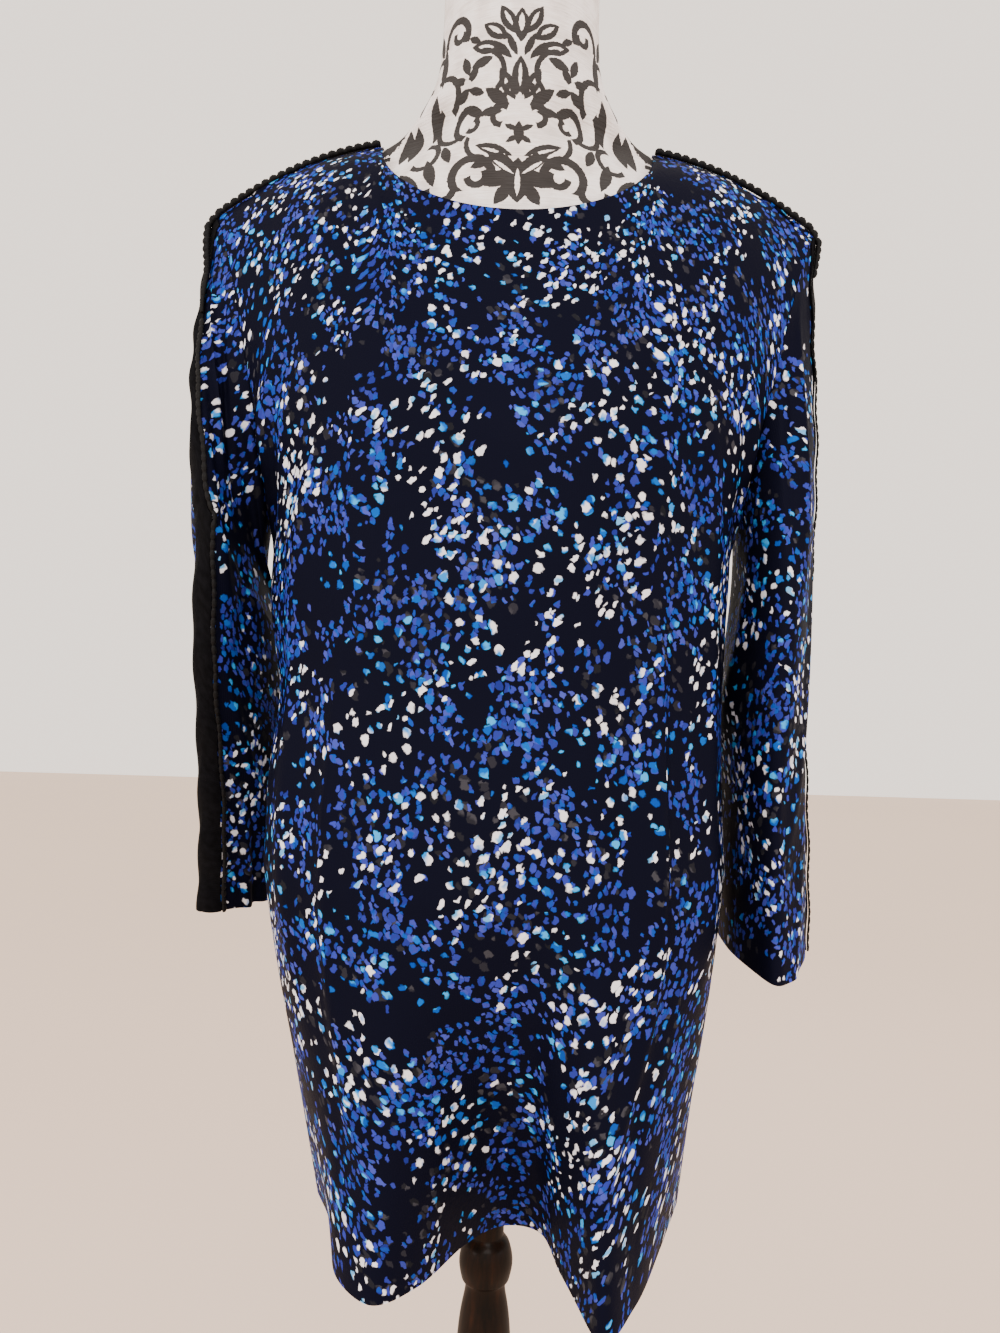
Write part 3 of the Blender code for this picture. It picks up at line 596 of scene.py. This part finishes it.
# Polyester satin: long floats of fine yarn, printed with scattered dabs. Seen from the
# front it is almost matt, and it turns faintly grey where it curves away. The yarn is
# drawn 1.5 mm apart, far coarser than it is, so that it shows.
GROUND = "#0b0c19"
DABS = (
    # spacing in mm, length to width, lean, radius, radius spread, cluster in mm, share of
    # the cells, two colours, wash over them, share of the wash
    (8.5, 1.35, 35, 0.15, 0.11, 45, 0.32, ("#17181d", "#26262d"), "#35353b", 0.2),
    (5.4, 1.45, -14, 0.22, 0.11, 42, 0.38, ("#1d2670", "#333b9a"), "#183a90", 0.25),
    (5.0, 1.55, 30, 0.20, 0.12, 36, 0.36, ("#262e80", "#3f469e"), "#133f98", 0.3),
    (11.0, 1.15, 62, 0.11, 0.09, 60, 0.42, ("#083a92", "#0a5cb4"), "#2e96d8", 0.4),
    (7.0, 1.75, -38, 0.13, 0.10, 50, 0.27, ("#d2d3dd", "#e8e8f0"), "#5a9fd4", 0.12),
    (10.5, 1.25, 20, 0.12, 0.09, 70, 0.27, ("#e4e4ea", "#cfcfd8"), "#1e7cc8", 0.25),
)
DAB_EDGE, WASH_EDGE = 14.0, 9.0
STRAY, PRESENT_AT, PRESENT_SPREAD = 0.15, 0.59, 0.30
YARN_PITCH = 1.5

satin, tree, shader = surface("polyester satin, printed", Roughness=0.50, Specular_IOR_Level=0.008)
place = cloth_mm(tree)
for size, sway in ((6.5, 3.6), (2.6, 2.3)):
    ragged = add(tree, "TexNoise", {"Vector": place, "Scale": 1 / size, "Detail": 1.0},
                 noise_dimensions="2D")
    ragged = add(tree, "VectorMath", {0: ragged.outputs["Color"], 1: (0.5, 0.5, 0.5)}, operation="SUBTRACT")
    place = add(tree, "VectorMath", {0: ragged, 1: (sway, sway, 0.0), 2: place},
                operation="MULTIPLY_ADD")
print_colour = linear(GROUND)
for spacing, ratio, lean, radius, spread, cluster, share, colours, wash, wash_share in DABS:
    own = add(tree, "Mapping", {"Vector": place, "Location": (31.0 * lean, 17.0 * spacing, 0),
                                "Rotation": (0, 0, math.radians(lean)),
                                "Scale": (spacing, spacing * ratio, 1)}, vector_type="TEXTURE")
    cell = add(tree, "TexVoronoi", {"Vector": own, "Scale": 1.0, "Randomness": 0.95},
               voronoi_dimensions="2D")
    chance = add(tree, "SeparateColor", {0: cell.outputs["Color"]})
    crowd = add(tree, "TexNoise", {"Vector": cell.outputs["Position"], "Scale": spacing / cluster,
                                   "Detail": 1.0}, noise_dimensions="2D")
    crowd = add(tree, "Math", {0: chance.outputs[0], 1: STRAY, 2: crowd}, operation="MULTIPLY_ADD")
    present = add(tree, "Math", {0: crowd, 1: PRESENT_AT + PRESENT_SPREAD * (0.5 - share)},
                  operation="GREATER_THAN")
    edge = add(tree, "Math", {0: chance.outputs[1], 1: spread * 2, 2: radius}, operation="MULTIPLY_ADD")
    inside = add(tree, "Math", {0: edge, 1: cell.outputs["Distance"]}, operation="SUBTRACT")
    inside = add(tree, "Math", {0: inside, 1: DAB_EDGE}, operation="MULTIPLY", use_clamp=True)
    mask = add(tree, "Math", {0: inside, 1: present}, operation="MULTIPLY")
    pick = add(tree, "Mix", {0: chance.outputs[2], 6: linear(colours[0]), 7: linear(colours[1])},
               data_type="RGBA")
    blot = add(tree, "TexNoise", {"Vector": own, "Scale": 1.3, "Detail": 0.0},
               noise_dimensions="2D")
    blot = add(tree, "Math", {0: blot, 1: 0.62 - 0.24 * wash_share}, operation="SUBTRACT")
    blot = add(tree, "Math", {0: blot, 1: WASH_EDGE}, operation="MULTIPLY", use_clamp=True)
    pick = add(tree, "Mix", {0: blot, 6: pick.outputs[2], 7: linear(wash)}, data_type="RGBA")
    print_colour = add(tree, "Mix", {0: mask, 6: print_colour, 7: pick.outputs[2]},
                       data_type="RGBA").outputs[2]
straight = cloth_mm(tree)
threads = add(tree, "SeparateXYZ", {0: straight})
floats = add(tree, "Math", {0: threads.outputs[0], 1: 2 * math.pi / YARN_PITCH}, operation="MULTIPLY")
floats = add(tree, "Math", {0: floats}, operation="SINE")
crepe = add(tree, "TexNoise", {"Vector": straight, "Scale": 0.16, "Detail": 5.0, "Roughness": 0.6},
            noise_dimensions="2D")
relief = add(tree, "Math", {0: floats, 1: 0.10, 2: crepe}, operation="MULTIPLY_ADD")
colour_and_relief(tree, shader, print_colour, relief, strength=0.35, distance=0.0007)

CREASES = {
    # flat place of the start and end from the centre line and the hem, bend, width, height
    "front": (
        (-0.190, 0.585, -0.225, 0.480, 0.006, 0.010, 0.0060),
        (-0.165, 0.600, -0.205, 0.470, 0.008, 0.012, -0.0035),
        (-0.205, 0.470, -0.200, 0.380, 0.004, 0.016, 0.0030),
        (0.190, 0.585, 0.225, 0.480, -0.006, 0.010, 0.0060),
        (0.165, 0.600, 0.205, 0.470, -0.008, 0.012, -0.0035),
        (0.205, 0.470, 0.195, 0.380, -0.004, 0.016, 0.0030),
        (-0.108, 0.400, -0.104, 0.080, 0.003, 0.007, 0.0050),
        (0.100, 0.430, 0.103, 0.050, -0.003, 0.007, 0.0048),
        (0.114, 0.430, 0.118, 0.090, -0.003, 0.009, -0.0034),
        (-0.160, 0.440, -0.150, 0.160, 0.004, 0.012, 0.0050),
        (0.160, 0.460, 0.165, 0.190, 0.004, 0.012, 0.0050),
        (-0.130, 0.540, -0.150, 0.420, 0.006, 0.010, 0.0045),
        (0.135, 0.560, 0.150, 0.440, -0.006, 0.010, 0.0045),
        (-0.060, 0.330, -0.075, 0.080, 0.006, 0.020, 0.0036),
        (0.055, 0.360, 0.040, 0.090, -0.006, 0.022, 0.0036),
        (0.100, 0.250, 0.112, 0.020, 0.004, 0.018, -0.0025),
        (-0.105, 0.260, -0.118, 0.020, 0.004, 0.018, -0.0020),
        (-0.020, 0.560, 0.060, 0.540, 0.006, 0.018, 0.0010),
        (0.000, 0.440, 0.090, 0.430, 0.008, 0.022, -0.0010),
    ),
    "back": (
        (-0.185, 0.590, -0.220, 0.485, 0.006, 0.012, 0.0040),
        (0.180, 0.595, 0.222, 0.480, -0.006, 0.011, 0.0042),
        (-0.040, 0.560, -0.055, 0.330, 0.006, 0.024, 0.0025),
        (0.050, 0.540, 0.062, 0.300, -0.005, 0.022, 0.0025),
        (-0.120, 0.430, -0.132, 0.090, 0.006, 0.018, 0.0028),
        (0.125, 0.420, 0.118, 0.110, -0.004, 0.016, 0.0030),
        (0.010, 0.300, 0.004, 0.060, 0.006, 0.022, -0.0026),
        (-0.080, 0.250, -0.084, 0.020, 0.004, 0.016, -0.0022),
        (0.085, 0.230, 0.094, 0.020, -0.004, 0.018, -0.0022),
    ),
}
PRINT_OFFSET = {"front": (0.0, 0.0), "back": (2.3, 0.7), "left": (4.1, 1.9), "right": (6.3, 3.1)}
FORM_ROOM, FORM_REACH = 0.0015, 0.02
FOLD_EASE_ROWS, YOKE_EASE_ROWS = 14.0, 20
NECK_EASE = 0.05
EASE_WEIGHT, EASE_ROUNDS = 0.9, 60
CALM_SIDE, CALM_TOP = 0.03, 0.04
PANEL_WAVE = 0.0007

share = np.linspace(0, 1, ACROSS + 1)
skirt_heights = np.linspace(HEM_Z, UNDERARM_Z, UP_SKIRT + 1)
rises = np.linspace(0, 1, UP_YOKE + 1)[1:]
panels = {}
for half in ("front", "back"):
    grid = np.concatenate([skirt_points(half, share, skirt_heights), yoke_points(half, share, rises)])
    flat_u = running_length(grid, 1)
    flat_u = flat_u - flat_u[:, ACROSS // 2:ACROSS // 2 + 1]
    flat_v = running_length(grid, 0)
    straight_v = flat_v - flat_v[UP_SKIRT:UP_SKIRT + 1] + UNDERARM_Z - HEM_Z
    above = (np.arange(len(grid)) - UP_SKIRT)[:, None]
    near_fold = np.exp(-(above / FOLD_EASE_ROWS) ** 2)
    near_neck = np.minimum(np.abs(share - SHOULDER_SHARE), np.abs(1 - share - SHOULDER_SHARE)) / NECK_EASE
    near_neck = soft_step(above / YOKE_EASE_ROWS) * np.exp(-near_neck ** 2)[None, :]
    grid = relax(grid, np.maximum(near_fold, near_neck) * EASE_WEIGHT, EASE_ROUNDS)
    from_side = np.minimum(flat_u - flat_u[:, :1], flat_u[:, -1:] - flat_u)
    from_top = flat_v[-1:] - flat_v
    calm = soft_step(from_side / CALM_SIDE) * soft_step(from_top / CALM_TOP)
    outward = outer_normals(grid, 1, facing(half))
    waves = PANEL_WAVE * np.sin(41 * flat_u + 13 * flat_v) * np.sin(9 * flat_u - 23 * flat_v)
    grid = grid + outward * (calm * (crease_lift(flat_u, flat_v, CREASES[half]) + waves))[..., None]
    grid[..., 1] += facing(half) * GAP / 2
    for i in range(len(grid)):
        for j in range(ACROSS + 1):
            near, normal, _, distance = form_surface.find_nearest(Vector(grid[i, j]))
            clear = (Vector(grid[i, j]) - near).dot(normal)
            if clear < FORM_ROOM and distance < FORM_REACH:
                grid[i, j] += np.array(normal) * (FORM_ROOM - clear)
    outward = outer_normals(grid, 1, facing(half))
    shift_u, shift_v = PRINT_OFFSET[half]
    piece = shell("dress_" + half + "_cloth", grid, grid - outward * CLOTH_THICK, flat_u + shift_u,
                  straight_v + shift_v, satin, flip=(half == "back"))
    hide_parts("dress_" + half)
    panels[half] = (grid, outward, flat_u, flat_v, straight_v, piece)


# Sleeves: one piece of the same satin each, set into the armholes, empty and hanging
# flat beside the body, a little longer in front on the right, with turned-up cuffs.
SLEEVE_SECTIONS = {
    # height, centre from the axis, centre back, half thickness, half depth, turn,
    # thinner in front, top line forward as a share of the way round
    "left": (
        (0.850, 0.1960, 0.074, 0.0200, 0.058, 24.0, 0.0, 0.245),
        (0.950, 0.1920, 0.044, 0.0210, 0.062, 17.0, 0.0, 0.235),
        (1.050, 0.1950, 0.015, 0.0225, 0.068, 7.0, 0.1, 0.220),
        (1.155, 0.2035, 0.004, 0.0230, 0.074, -5.0, 0.2, 0.205),
        (1.300, 0.1990, 0.000, 0.0270, 0.080, 0.0, 0.0, 0.190),
    ),
    "right": (
        (0.830, 0.1975, 0.000, 0.0280, 0.064, -9.0, 0.5, -0.08),
        (0.950, 0.1940, 0.000, 0.0285, 0.067, -8.0, 0.4, -0.08),
        (1.050, 0.1920, 0.000, 0.0280, 0.069, -6.0, 0.3, -0.07),
        (1.155, 0.1975, 0.000, 0.0250, 0.074, -8.0, 0.2, -0.05),
        (1.300, 0.1980, 0.000, 0.0270, 0.080, 0.0, 0.0, -0.01),
    ),
}
CUFF = {"left": (0.850, 0.000), "right": (0.8375, 0.0055)}
CROWN_SHARE = 0.42
CROWN_SWELL = {"left": 0.0085, "right": 0.0}
SLEEVE_ROUND, SLEEVE_DOWN = 120, 180
FINE_TURNS, LEVELS = 360, 400
CALM_CROWN = 0.03
PUCKER, PUCKER_LENGTH, PUCKER_REACH = 0.0009, 0.046, 0.022
SLEEVE_WAVE = 0.0006
SLEEVE_CREASES = {
    # flat place of the start and end: round from the top line towards the front, down
    # from the armhole; bend, width, height
    "left": (
        (0.030, 0.020, 0.050, 0.150, 0.005, 0.007, 0.0042),
        (0.062, 0.020, 0.078, 0.140, 0.004, 0.008, -0.0036),
        (0.024, 0.110, 0.036, 0.260, -0.004, 0.009, 0.0030),
        (0.076, 0.180, 0.036, 0.300, 0.006, 0.010, -0.0028),
        (0.022, 0.300, 0.055, 0.380, 0.004, 0.012, 0.0026),
        (0.037, 0.390, 0.036, 0.560, 0.001, 0.005, 0.0036),
        (0.047, 0.400, 0.046, 0.560, 0.001, 0.005, -0.0036),
        (0.175, 0.050, 0.195, 0.230, 0.006, 0.014, 0.0034),
        (0.215, 0.200, 0.180, 0.400, -0.006, 0.016, 0.0030),
    ),
    "right": (
        (0.060, 0.030, 0.085, 0.160, 0.006, 0.010, 0.0038),
        (0.100, 0.020, 0.110, 0.150, 0.004, 0.010, -0.0030),
        (0.040, 0.200, 0.090, 0.330, -0.006, 0.014, 0.0026),
        (0.110, 0.250, 0.070, 0.370, 0.006, 0.014, -0.0024),
        (0.060, 0.370, 0.090, 0.500, 0.004, 0.014, 0.0024),
        (0.200, 0.060, 0.230, 0.230, 0.006, 0.014, 0.0030),
        (0.230, 0.230, 0.210, 0.420, -0.006, 0.016, 0.0026),
    ),
}


def outward_x(side):
    """Sign of X on the left or right."""
    return -1.0 if side == "left" else 1.0


def sleeve_rings(side, shares, turns):
    """Grid of the outer face; share 0 is the armhole and 1 the cuff."""
    edge = np.array([0.0 if side == "left" else 1.0])
    rises = np.abs(1 - 2 * turns)
    top = np.where((turns <= 0.5)[:, None], yoke_points("front", edge, rises)[:, 0],
                   yoke_points("back", edge, rises)[:, 0])
    top = top + np.array([outward_x(side) * GAP, 0.0, 0.0])
    cuff, front_drop = CUFF[side]
    bottom = cuff - front_drop * np.sin(2 * math.pi * turns)
    height = top[None, :, 2] + (bottom - top[:, 2])[None, :] * shares[:, None]
    from_axis, back, thick, deep, twist, taper, lead = np.moveaxis(
        smooth_rows(SLEEVE_SECTIONS[side], height), -1, 0)
    twist = np.radians(twist)
    angle = 2 * math.pi * (turns[None, :] + lead)
    thick = thick * (1 - taper * np.sin(angle)) * np.cos(angle)
    deep = deep * np.sin(angle)
    x = outward_x(side) * (from_axis + thick * np.cos(twist) + deep * np.sin(twist))
    y = back + thick * np.sin(twist) - deep * np.cos(twist)
    blend = soft_step(shares / CROWN_SHARE)[:, None]
    swell = np.sqrt(np.sin(math.pi * np.minimum(shares / CROWN_SHARE, 1.0)).clip(0))[:, None]
    swell = outward_x(side) * CROWN_SWELL[side] * swell * (1 + np.cos(2 * math.pi * turns)) / 2
    return np.stack([top[None, :, 0] + blend * (x - top[None, :, 0]) + swell,
                     top[None, :, 1] + blend * (y - top[None, :, 1]), height], axis=-1)


def even_ring(ring, count):
    """Closed ring as a number of points at even distances, and its length."""
    closed = np.concatenate([ring, ring[:1]])
    length = running_length(closed, 0)
    places = length[-1] * np.arange(count) / count
    return np.stack([np.interp(places, length, closed[:, k]) for k in range(3)], -1), length[-1]


def level_places(grid, side):
    """Place of the print on a sleeve: level distance from its middle, and height."""
    half = SLEEVE_ROUND // 2
    levels = np.linspace(grid[..., 2].min(), grid[..., 2].max(), LEVELS)
    spots = np.array([[np.interp(levels, grid[::-1, j, 2], grid[::-1, j, k]) for k in (0, 1)]
                      for j in np.arange(-half, half + 1) % SLEEVE_ROUND])
    spots = np.moveaxis(spots, 1, -1)
    arc = running_length(spots, 0)
    girth = arc[-1, LEVELS // 4]
    arc = arc - arc[half] + smooth_rows(SLEEVE_SECTIONS[side], levels)[:, 1] - spots[half, :, 1]
    across = [np.interp(grid[:, j % SLEEVE_ROUND, 2], levels, arc[half + j - SLEEVE_ROUND * (j > half)])
              + girth * (j > half) for j in range(SLEEVE_ROUND + 1)]
    return np.stack(across, 1), np.concatenate([grid[..., 2], grid[:, :1, 2]], 1)


turns = np.arange(FINE_TURNS) / FINE_TURNS
shares = np.linspace(0, 1, SLEEVE_DOWN + 1)
sleeves = {}
for side in ("left", "right"):
    rings, lengths = zip(*[even_ring(ring, SLEEVE_ROUND) for ring in sleeve_rings(side, shares, turns)])
    grid, lengths = np.array(rings), np.array(lengths)
    flat_u = lengths[:, None] * np.arange(SLEEVE_ROUND + 1)[None, :] / SLEEVE_ROUND
    flat_v = running_length(grid, 0)
    flat_v = np.concatenate([flat_v, flat_v[:, :1]], 1)
    print_u, print_v = level_places(grid, side)
    outward = outer_normals(grid, 0, outward_x(side), closed=True)
    calm = soft_step(flat_v / CALM_CROWN)
    from_top = np.where(flat_u > lengths[:, None] / 2, flat_u - lengths[:, None], flat_u)
    puckers = np.sin(2 * math.pi * flat_v / PUCKER_LENGTH + 1.3 * np.sin(9 * flat_v))
    lift = crease_lift(flat_u, flat_v, SLEEVE_CREASES[side])
    lift += PUCKER * puckers * np.exp(-((from_top / PUCKER_REACH) ** 2))
    lift += SLEEVE_WAVE * np.sin(47 * flat_u + 11 * flat_v) * np.sin(12 * flat_u - 31 * flat_v)
    grid = grid + outward * (calm * lift)[:, :SLEEVE_ROUND, None]
    outward = outer_normals(grid, 0, outward_x(side), closed=True)
    shift_u, shift_v = PRINT_OFFSET[side]
    piece = shell("sleeve_" + side + "_cloth", grid, grid - outward * CLOTH_THICK, print_u + shift_u,
                  print_v + shift_v, satin, closed=True, flip=(side == "right"))
    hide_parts("sleeve_" + side)
    sleeves[side] = (grid, outward, lengths, flat_v, piece)


# Turned-in edges: the neck, hem and cuffs are folded to the inside and caught there, so
# each open edge shows two layers from below and within.
HEM_TURN, CUFF_TURN, NECK_TURN = 0.024, 0.020, 0.012
FOLD_GAP, FOLD_THICK = 0.0002, 0.0004
NECK_ENDS = 0.25
INSIDE_SHIFT = 0.5

for half in ("front", "back"):
    grid, outward, flat_u, flat_v, straight_v, piece = panels[half]
    shift_u, shift_v = PRINT_OFFSET[half]
    rows = int(np.searchsorted(flat_v[:, ACROSS // 2], HEM_TURN)) + 1
    lower = slice(0, rows)
    reach = flat_v[-1:, :] - flat_v
    upper = slice(int(np.argmax(reach[:, ACROSS // 2] < NECK_TURN)), None)
    columns = slice(int(ACROSS * NECK_ENDS), int(ACROSS * (1 - NECK_ENDS)) + 1)
    for name, cut in (("hem_" + half, (lower, slice(None))), ("neck_" + half, (upper, columns))):
        face = grid[cut] - outward[cut] * (CLOTH_THICK + FOLD_GAP)
        shell(name + "_turned", face, face - outward[cut] * FOLD_THICK,
                                flat_u[cut] + shift_u, straight_v[cut] + shift_v + INSIDE_SHIFT, satin,
                                flip=(half == "back"))
for side in ("left", "right"):
    grid, outward, lengths, flat_v, piece = sleeves[side]
    shift_u, shift_v = PRINT_OFFSET[side]
    cut = slice(int(np.argmax(flat_v[-1, 0] - flat_v[:, 0] < CUFF_TURN)), None)
    flat_u = lengths[cut, None] * np.arange(SLEEVE_ROUND + 1)[None, :] / SLEEVE_ROUND
    face = grid[cut] - outward[cut] * (CLOTH_THICK + FOLD_GAP)
    shell("cuff_" + side + "_turned", face, face - outward[cut] * FOLD_THICK,
                                      flat_u + shift_u, flat_v[-1:] - flat_v[cut] + shift_v + INSIDE_SHIFT,
                                      satin, closed=True, flip=(side == "right"))


# Ribbons: black grosgrain 27 mm wide down the top line of each sleeve, sewn along both
# edges, which draws the cloth up in small waves.
RIBBON_HALF, RIBBON_THICK = 0.0135, 0.0008
RIBBON_COLUMNS = 14
RIB_PITCH = 1.6
EDGE_WAVE, EDGE_WAVES_A_METRE = 0.0003, 120

# Woven polyester grosgrain: its cross ribs keep it matt. They are drawn 1.6 mm apart,
# a little coarser than they are, so that they show.
grosgrain, tree, shader = surface("polyester grosgrain, black", Roughness=0.7, Specular_IOR_Level=0.015)
place = cloth_mm(tree)
parts = add(tree, "SeparateXYZ", {0: place})
ribs = add(tree, "Math", {0: parts.outputs[1], 1: 2 * math.pi / RIB_PITCH}, operation="MULTIPLY")
ribs = add(tree, "Math", {0: ribs}, operation="SINE")
uneven = add(tree, "TexNoise", {"Vector": place, "Scale": 0.18, "Detail": 4.0}, noise_dimensions="2D")
black = add(tree, "ValToRGB", {0: uneven}, stops=((0.3, "#09090b"), (0.7, "#0f0f12")))
relief = add(tree, "Math", {0: ribs, 1: 0.25, 2: uneven}, operation="MULTIPLY_ADD")
colour_and_relief(tree, shader, black.outputs[0], relief, strength=0.4, distance=0.0004)


def beside_top_line(side, distances):
    """Places and outward directions on a sleeve, at distances round from its top line, row by row."""
    grid, outward, lengths, _, _ = sleeves[side]
    at = (distances / lengths[:, None]) * SLEEVE_ROUND
    low = np.floor(at).astype(int)
    part = (at - low)[..., None]
    rows = np.arange(len(grid))[:, None]
    low, high = low % SLEEVE_ROUND, (low + 1) % SLEEVE_ROUND
    return (grid[rows, low] * (1 - part) + grid[rows, high] * part,
            outward[rows, low] * (1 - part) + outward[rows, high] * part)


for side in ("left", "right"):
    down = sleeves[side][3][:, :1]
    half_wide = RIBBON_HALF + EDGE_WAVE * np.sin(EDGE_WAVES_A_METRE * down)
    across = np.linspace(-1, 1, RIBBON_COLUMNS + 1)[None, :] * half_wide
    under, out = beside_top_line(side, across)
    under = under + out * GAP
    shell("ribbon_" + side, under + out * RIBBON_THICK, under, across, down + 0 * across,
                          grosgrain, flip=(side == "right"))
    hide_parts("sleeve_band_" + side)


# Picot braid: a soft black cord knotted into small beads, sewn over each shoulder seam
# and, finer, on down the front edge of the ribbon. On the right it lies flatter there.
BEAD_PITCH = 0.0065
SHOULDER_BEAD = (0.0029, 0.0026)
SLEEVE_BEAD = {"left": (0.0018, 0.0013), "right": (0.0015, 0.0009)}
BEAD_STATIONS, BEAD_SIDES = 12, 14
BEAD_WAIST, WINDING = 0.66, 0.06
BRAID_BESIDE = RIBBON_HALF + 0.0020
CORNER_ROWS = 14
BRAID_ROWS = {"left": 26, "right": 11}
NECK_END, CORNER_END = 0.985, 0.03
THIN_FROM, THIN_END = 0.72, 0.62
SEAM_POINTS = 60

# Twisted viscose: dull black, with fine fibres that catch a little light.
viscose, tree, shader = surface("viscose cord, knotted", Roughness=0.62, Specular_IOR_Level=0.12)
place = add(tree, "TexCoord").outputs["Object"]
fibres = add(tree, "TexNoise", {"Vector": place, "Scale": 900.0, "Detail": 3.0})
black = add(tree, "ValToRGB", {0: fibres}, stops=((0.35, "#040405"), (0.75, "#0e0e10")))
colour_and_relief(tree, shader, black.outputs[0], fibres, strength=0.5, distance=0.0003)


def beaded(name, line, up, size, thin_end=1.0):
    """Cord of beads along a line, on the side that up points to; its last bead is thin_end of size."""
    length = running_length(line, 0)
    beads = round(length[-1] / BEAD_PITCH)
    at = np.linspace(0, 1, beads * BEAD_STATIONS + 1)
    centre = np.stack([np.interp(at * length[-1], length, line[:, k]) for k in range(3)], -1)
    rise = np.stack([np.interp(at * length[-1], length, up[:, k]) for k in range(3)], -1)
    ahead = np.gradient(centre, axis=0)
    ahead /= np.linalg.norm(ahead, axis=1, keepdims=True)
    aside = np.cross(ahead, rise)
    aside /= np.linalg.norm(aside, axis=1, keepdims=True)
    rise = np.cross(aside, ahead)
    swell = (BEAD_WAIST + (1 - BEAD_WAIST) * np.abs(np.sin(math.pi * at * beads)) ** 0.7)[:, None]
    turn = 2 * math.pi * np.arange(BEAD_SIDES)[None, :] / BEAD_SIDES
    wound = 1 + WINDING * np.cos(2 * turn + 2 * math.pi * at[:, None] * beads * 3)
    thinning = (1 + (thin_end - 1) * soft_step((at - THIN_FROM) / (1 - THIN_FROM)))[:, None]
    wide, high = size[0] * thinning, size[1] * thinning
    ring = (centre[:, None, :]
            + aside[:, None, :] * (wide * swell * wound * np.cos(turn))[..., None]
            + rise[:, None, :] * (high * swell * (wound * np.sin(turn) + 1))[..., None])
    return show(name, ring.reshape(-1, 3), stacked_rings(len(at), BEAD_SIDES), viscose)


for side in ("left", "right"):
    steps = np.arange(len(sleeves[side][0]))[:, None]
    aside = BRAID_BESIDE * soft_step(steps / CORNER_ROWS)
    line, out = beside_top_line(side, aside)
    on_ribbon = GAP + (GAP + RIBBON_THICK) * (aside < RIBBON_HALF + SHOULDER_BEAD[0])
    line, out = line[:, 0] + out[:, 0] * on_ribbon, out[:, 0]
    start = BRAID_ROWS[side]
    beaded("braid_down_" + side, line[start:], out[start:], SLEEVE_BEAD[side])
    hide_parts("braid_sleeve_" + side)
    along = np.linspace(NECK_END, CORNER_END, SEAM_POINTS)
    seam = np.stack([outward_x(side) * (SHOULDER_X + (NECK_X - SHOULDER_X) * along), 0 * along,
                     seam_height(along)], -1)
    run = np.gradient(seam, axis=0)
    seam_up = np.stack([-run[:, 2], 0 * along, run[:, 0]], -1) * outward_x(side)
    seam_up /= np.linalg.norm(seam_up, axis=1, keepdims=True)
    line = np.concatenate([seam + seam_up * GAP, line[2:start - 1]])
    out = np.concatenate([seam_up, out[2:start - 1]])
    over = beaded("braid_over_" + side, line, out, SHOULDER_BEAD, thin_end=THIN_END)
    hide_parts("braid_shoulder_" + side)

# How the cloth was cut, with its seams and turnings: the front is 0.60 m wide at the hem,
# the back 0.54 m over the shoulders, and both are 0.83 m long; each sleeve is 0.34 m wide
# and 0.56 m long.
PANEL_CUT = {"front": ((0.60, 0.83), 0.370), "back": ((0.54, 0.83), 0.347)}
for half in ("front", "back"):
    flat, area = PANEL_CUT[half]
